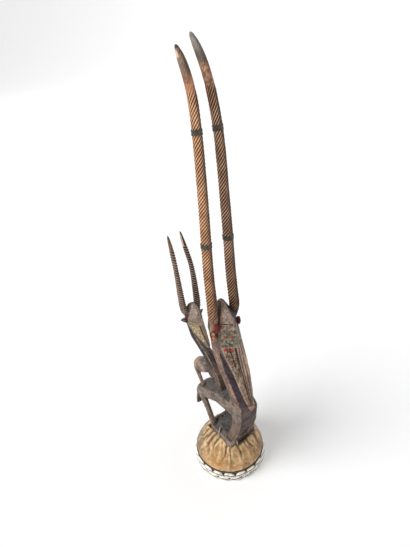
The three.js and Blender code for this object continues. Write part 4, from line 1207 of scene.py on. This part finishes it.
def makeCap():
    piece = copyOfNode("hide_cap", "hideCap")
    applyModifier(piece, "REMESH", mode="VOXEL", voxel_size=capLook["voxel"] / 1000)
    applyModifier(piece, "SMOOTH", factor=0.5, iterations=capLook["smoothRounds"])
    points = readPoints(piece)
    normals = readPoints(piece, "normal")
    away = points[:, :2] - np.array([capX, capY])
    radius = np.hypot(away[:, 0], away[:, 1]) * 1000
    azimuth = np.degrees(np.arctan2(away[:, 1], away[:, 0]))
    z = points[:, 2] * 1000
    x, y, _ = inCarving(points).T
    outward = np.einsum("ij,ij->i", normals[:, :2], away) / np.maximum(radius / 1000, 1e-6)
    outward += normals[:, 2]
    beside = np.maximum(np.abs(x - place["plinthAhead"]) - place["plinthHalfLength"],
                        np.abs(y) - place["plinthHalfWidth"])
    outer = ramp(outward, 0.0, 0.4) * ramp(z, 22, 30) * ramp(beside, 0, 0.6)

    # creases with a soft ridge on each side, and wrinkles drawn out down to the rim
    total = np.zeros(len(points))
    shade = np.zeros(len(points))
    sway = (lumps(points, 0.017, 71) - 0.5) * 13
    for top, low, depth, wide, dies in capLook["creases"]:
        line = low + (top - low) * ramp(z, 40, 84)
        reach = np.radians((azimuth - line - sway + 180) % 360 - 180) * radius
        fade = ramp(z, dies, dies + 26)
        ridges = sum(np.exp(-((reach + off * wide) / (1.4 * wide)) ** 2) for off in (-2.4, 2.4))
        total += (np.exp(-(reach / wide) ** 2) - 0.35 * ridges) * depth * fade
        shade += np.exp(-(reach / (wide * 0.75)) ** 2) * fade
    drawn = np.stack([azimuth * 0.0011, radius * 0.00035, z * 0.0004], 1)
    wrinkles = (lumps(drawn, 0.0045, 72) - 0.5) * 1.4 + (lumps(points, 0.006, 73) - 0.5) * 0.9
    height = wrinkles * capLook["wrinkle"] * (0.4 + 0.6 * ramp(z, 30, 84)) - total
    points += normals * (height * outer / 1000)[:, None]
    lift = np.maximum(capLook["puffHeight"] - z, 0) * 0.85
    lift *= np.exp(-(np.maximum(beside, 0) / capLook["puffReach"]) ** 2)
    lift *= ramp(z, 45, 60) * ramp(outward, 0.2, 0.6) * ramp(beside, -0.2, 0.6)
    points[:, 2] += lift / 1000
    writePoints(piece, points)

    # oil has turned the hide amber in two places below the plinth's corner, and the plinth and
    # what stands on it shade the hide behind and in front of it
    proud = proudness(piece, 6)
    cloud = lumps(points, 0.013, 74)
    fine = lumps(points, 0.005, 75)
    amber = np.maximum(np.exp(-((azimuth + 62) / 12) ** 2 - ((z - 42) / 14) ** 2),
                       np.exp(-((azimuth + 31) / 14) ** 2 - ((z - 34) / 9) ** 2))
    behind = ramp(-(away[:, 0] * 0.95 + away[:, 1] * 0.3) * 1000, 15, 50)
    shadow = ramp(x, 44, 46) * ramp(y, -27, -18) * (1 - ramp(y, 16, 30))
    foldShade = np.clip(shade, 0, 1) * outer
    colours = plainColours(points, "#bf9a69")
    paintAll(colours, [
        ("#a98651", ramp(cloud, 0.45, 0.75) * 0.8),
        ("#d5b58a", ramp(fine, 0.55, 0.8) * 0.6),
        ("#cc9146", amber * ramp(cloud, 0.25, 0.55) * 0.75),
        ("#7d684d", behind * 0.85),
        ("#a08059", ramp(z, 74, 86) * 0.6),
        # painted shade: the side of the cap away from the light is darker
        ("#95764f", ramp(azimuth, 0, 25) * (1 - ramp(azimuth, 150, 175)) * 0.7),
        ("#e3c698", ramp(proud, 0.05, 0.25) * outer * 0.7),
        # painted shade in the creases
        ("#6b4526", foldShade * (0.2 + 0.5 * ramp(fine, 0.3, 0.6))),
        ("#5d3f25", ramp(-proud, 0.08, 0.35) * 0.7),
        ("#3b2e20", shadow * (1 - ramp(beside + ramp(y, -10, 25) * 4, 4, 9))),
        ("#8a6a45", 1 - ramp(outward, -0.3, 0.1)),
        ("#5a452f", (1 - ramp(z, 24, 31)) * 0.6)])
    storeColours(piece, colours)
    finishPiece(piece, "hide_cap", hideMaterial, 70)
    print("cap of", len(piece.data.polygons), "faces")


makeCap()

# Cowries: one shell is shaped, then copied to each place, turned and sized a little differently
shellLook = {"length": 23, "high": 12.3, "deep": 5.2, "slit": 1.0, "teeth": 10, "tilt": 0.25,
             "off": 0.8, "slant": 8, "sizes": (0.97, 1.05)}


def shapeShell():
    deselectAll()
    bpy.ops.mesh.primitive_uv_sphere_add(segments=44, ring_count=30, radius=1,
                                         rotation=(math.pi / 2, 0, 0))
    piece = activeAs("cowrieShellModel")
    bpy.ops.object.transform_apply(location=False, rotation=True, scale=False)
    x, y, z = readPoints(piece).T
    # out from the cap is +X, the shell's length runs along Y; one end is broader
    broad = 1 + 0.12 * y
    out = np.where(x > 0, np.abs(x) ** 0.8, -0.3 * np.abs(x)) * shellLook["deep"]
    along = y * shellLook["length"] / 2
    high = z * shellLook["high"] / 2 * broad * np.maximum(1 - y ** 2, 0) ** 0.18
    middle = high - 0.35 * (y ** 2 - 0.3)
    slit = np.exp(-(middle / shellLook["slit"]) ** 2)
    slit *= ramp(x, 0.3, 0.6) * (1 - ramp(np.abs(y), 0.84, 0.95))
    lips = np.exp(-((np.abs(middle) - 1.3) / 0.8) ** 2) * ramp(x, 0.3, 0.6)
    teeth = 0.5 + 0.5 * np.cos(along * 2 * math.pi * shellLook["teeth"] / shellLook["length"])
    out = out + 0.12 * (1 - y ** 2) - 1.5 * slit + 0.25 * lips * (teeth - 0.4)
    writePoints(piece, np.stack([out, along, high], 1) / 1000)
    colours = plainColours(x, "#f6f1e6")
    paintAll(colours, [
        ("#d8c9a4", ramp(np.abs(y), 0.7, 0.95) * 0.6),
        # the back against the cap is painted darker, partly as painted shade; the slit is painted
        # shade
        ("#b9a888", (1 - ramp(x, -0.2, 0.3)) * 0.7),
        ("#2b2019", slit * 1.6),
        ("#5b4a38", 1 - ramp(x, -0.25, 0.12))])
    storeColours(piece, colours)
    return piece


def turned(a, b, angle):
    return a * math.cos(angle) - b * math.sin(angle), a * math.sin(angle) + b * math.cos(angle)


def makeShells():
    model = shapeShell()
    shape = readPoints(model)
    chance = np.random.default_rng(81)
    for node in sorted(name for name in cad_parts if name.startswith("cowrie_")):
        low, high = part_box(node)
        azimuth = math.atan2((low.y + high.y) / 2 - capY, (low.x + high.x) / 2 - capX)
        piece = duplicateAs(model, node.replace("cowrie_", "cowrieShell_"))
        x, y, z = (shape * chance.uniform(*shellLook["sizes"])).T
        slant = math.radians(chance.uniform(-shellLook["slant"], shellLook["slant"]))
        flip = chance.choice([-1, 1])
        y, z = turned(flip * y, flip * z, slant)
        x, z = turned(x, z, shellLook["tilt"])
        x, y = turned(x + (rim["radius"] + rim["wall"] + shellLook["off"]) / 1000, y, azimuth)
        z = np.maximum(z + (low.z + high.z) / 2, 0)
        writePoints(piece, np.stack([capX + x, capY + y, z], 1))
        finishPiece(piece, node, shellMaterial, 70)
    bpy.data.objects.remove(model)


makeShells()
print("shells sewn on")

# Studio: a pale round floor that sweeps up far off all round, even white light and a wide soft
# light from the left. Its lengths are in metres
studio = {"reach": 12.0, "sweepFrom": 9.0, "sweepSteepness": 0.5, "ahead": (-0.82, 0.57),
          "sky": 0.52, "keyStrength": 2.6, "keyAngle": 40, "keyFrom": (-0.27, -0.8, 0.72)}


def makeFloor():
    def pointAt(u, v):
        along = (v * 2 - 1) * studio["reach"]
        aside = (u * 2 - 1) * studio["reach"]
        # squares of the grid become rings, so that the sheet's rim is round and level
        ring = np.maximum(np.abs(along), np.abs(aside))
        rounding = ring / np.maximum(np.hypot(along, aside), 1e-9)
        along, aside = along * rounding, aside * rounding
        aheadX, aheadY = studio["ahead"]
        x = capX + along * aheadX + aside * aheadY
        y = capY + along * aheadY - aside * aheadX
        z = np.maximum(ring - studio["sweepFrom"], 0) ** 2 * studio["sweepSteepness"]
        return np.stack([x, y, z], 1)

    floor = gridShape("studioFloor", 40, 60, pointAt)
    if floor.data.polygons[0].normal.z < 0:
        editAll(floor)
        bpy.ops.mesh.flip_normals()
        bpy.ops.object.mode_set(mode="OBJECT")
    shadeSmooth(floor, 50)
    floor.data.materials.append(floorMaterial)


def makeLight():
    world = bpy.data.worlds.new("studioSky")
    world.use_nodes = True
    background = world.node_tree.nodes["Background"]
    background.inputs["Color"].default_value = (1, 1, 1, 1)
    background.inputs["Strength"].default_value = studio["sky"]
    bpy.context.scene.world = world
    data = bpy.data.lights.new("softKey", "SUN")
    data.energy = studio["keyStrength"]
    data.angle = math.radians(studio["keyAngle"])
    key = bpy.data.objects.new("softKey", data)
    bpy.context.scene.collection.objects.link(key)
    key.rotation_euler = Vector(studio["keyFrom"]).to_track_quat("Z", "Y").to_euler()
    bpy.context.scene.view_settings.view_transform = "Standard"


makeFloor()
makeLight()
print("studio lit")
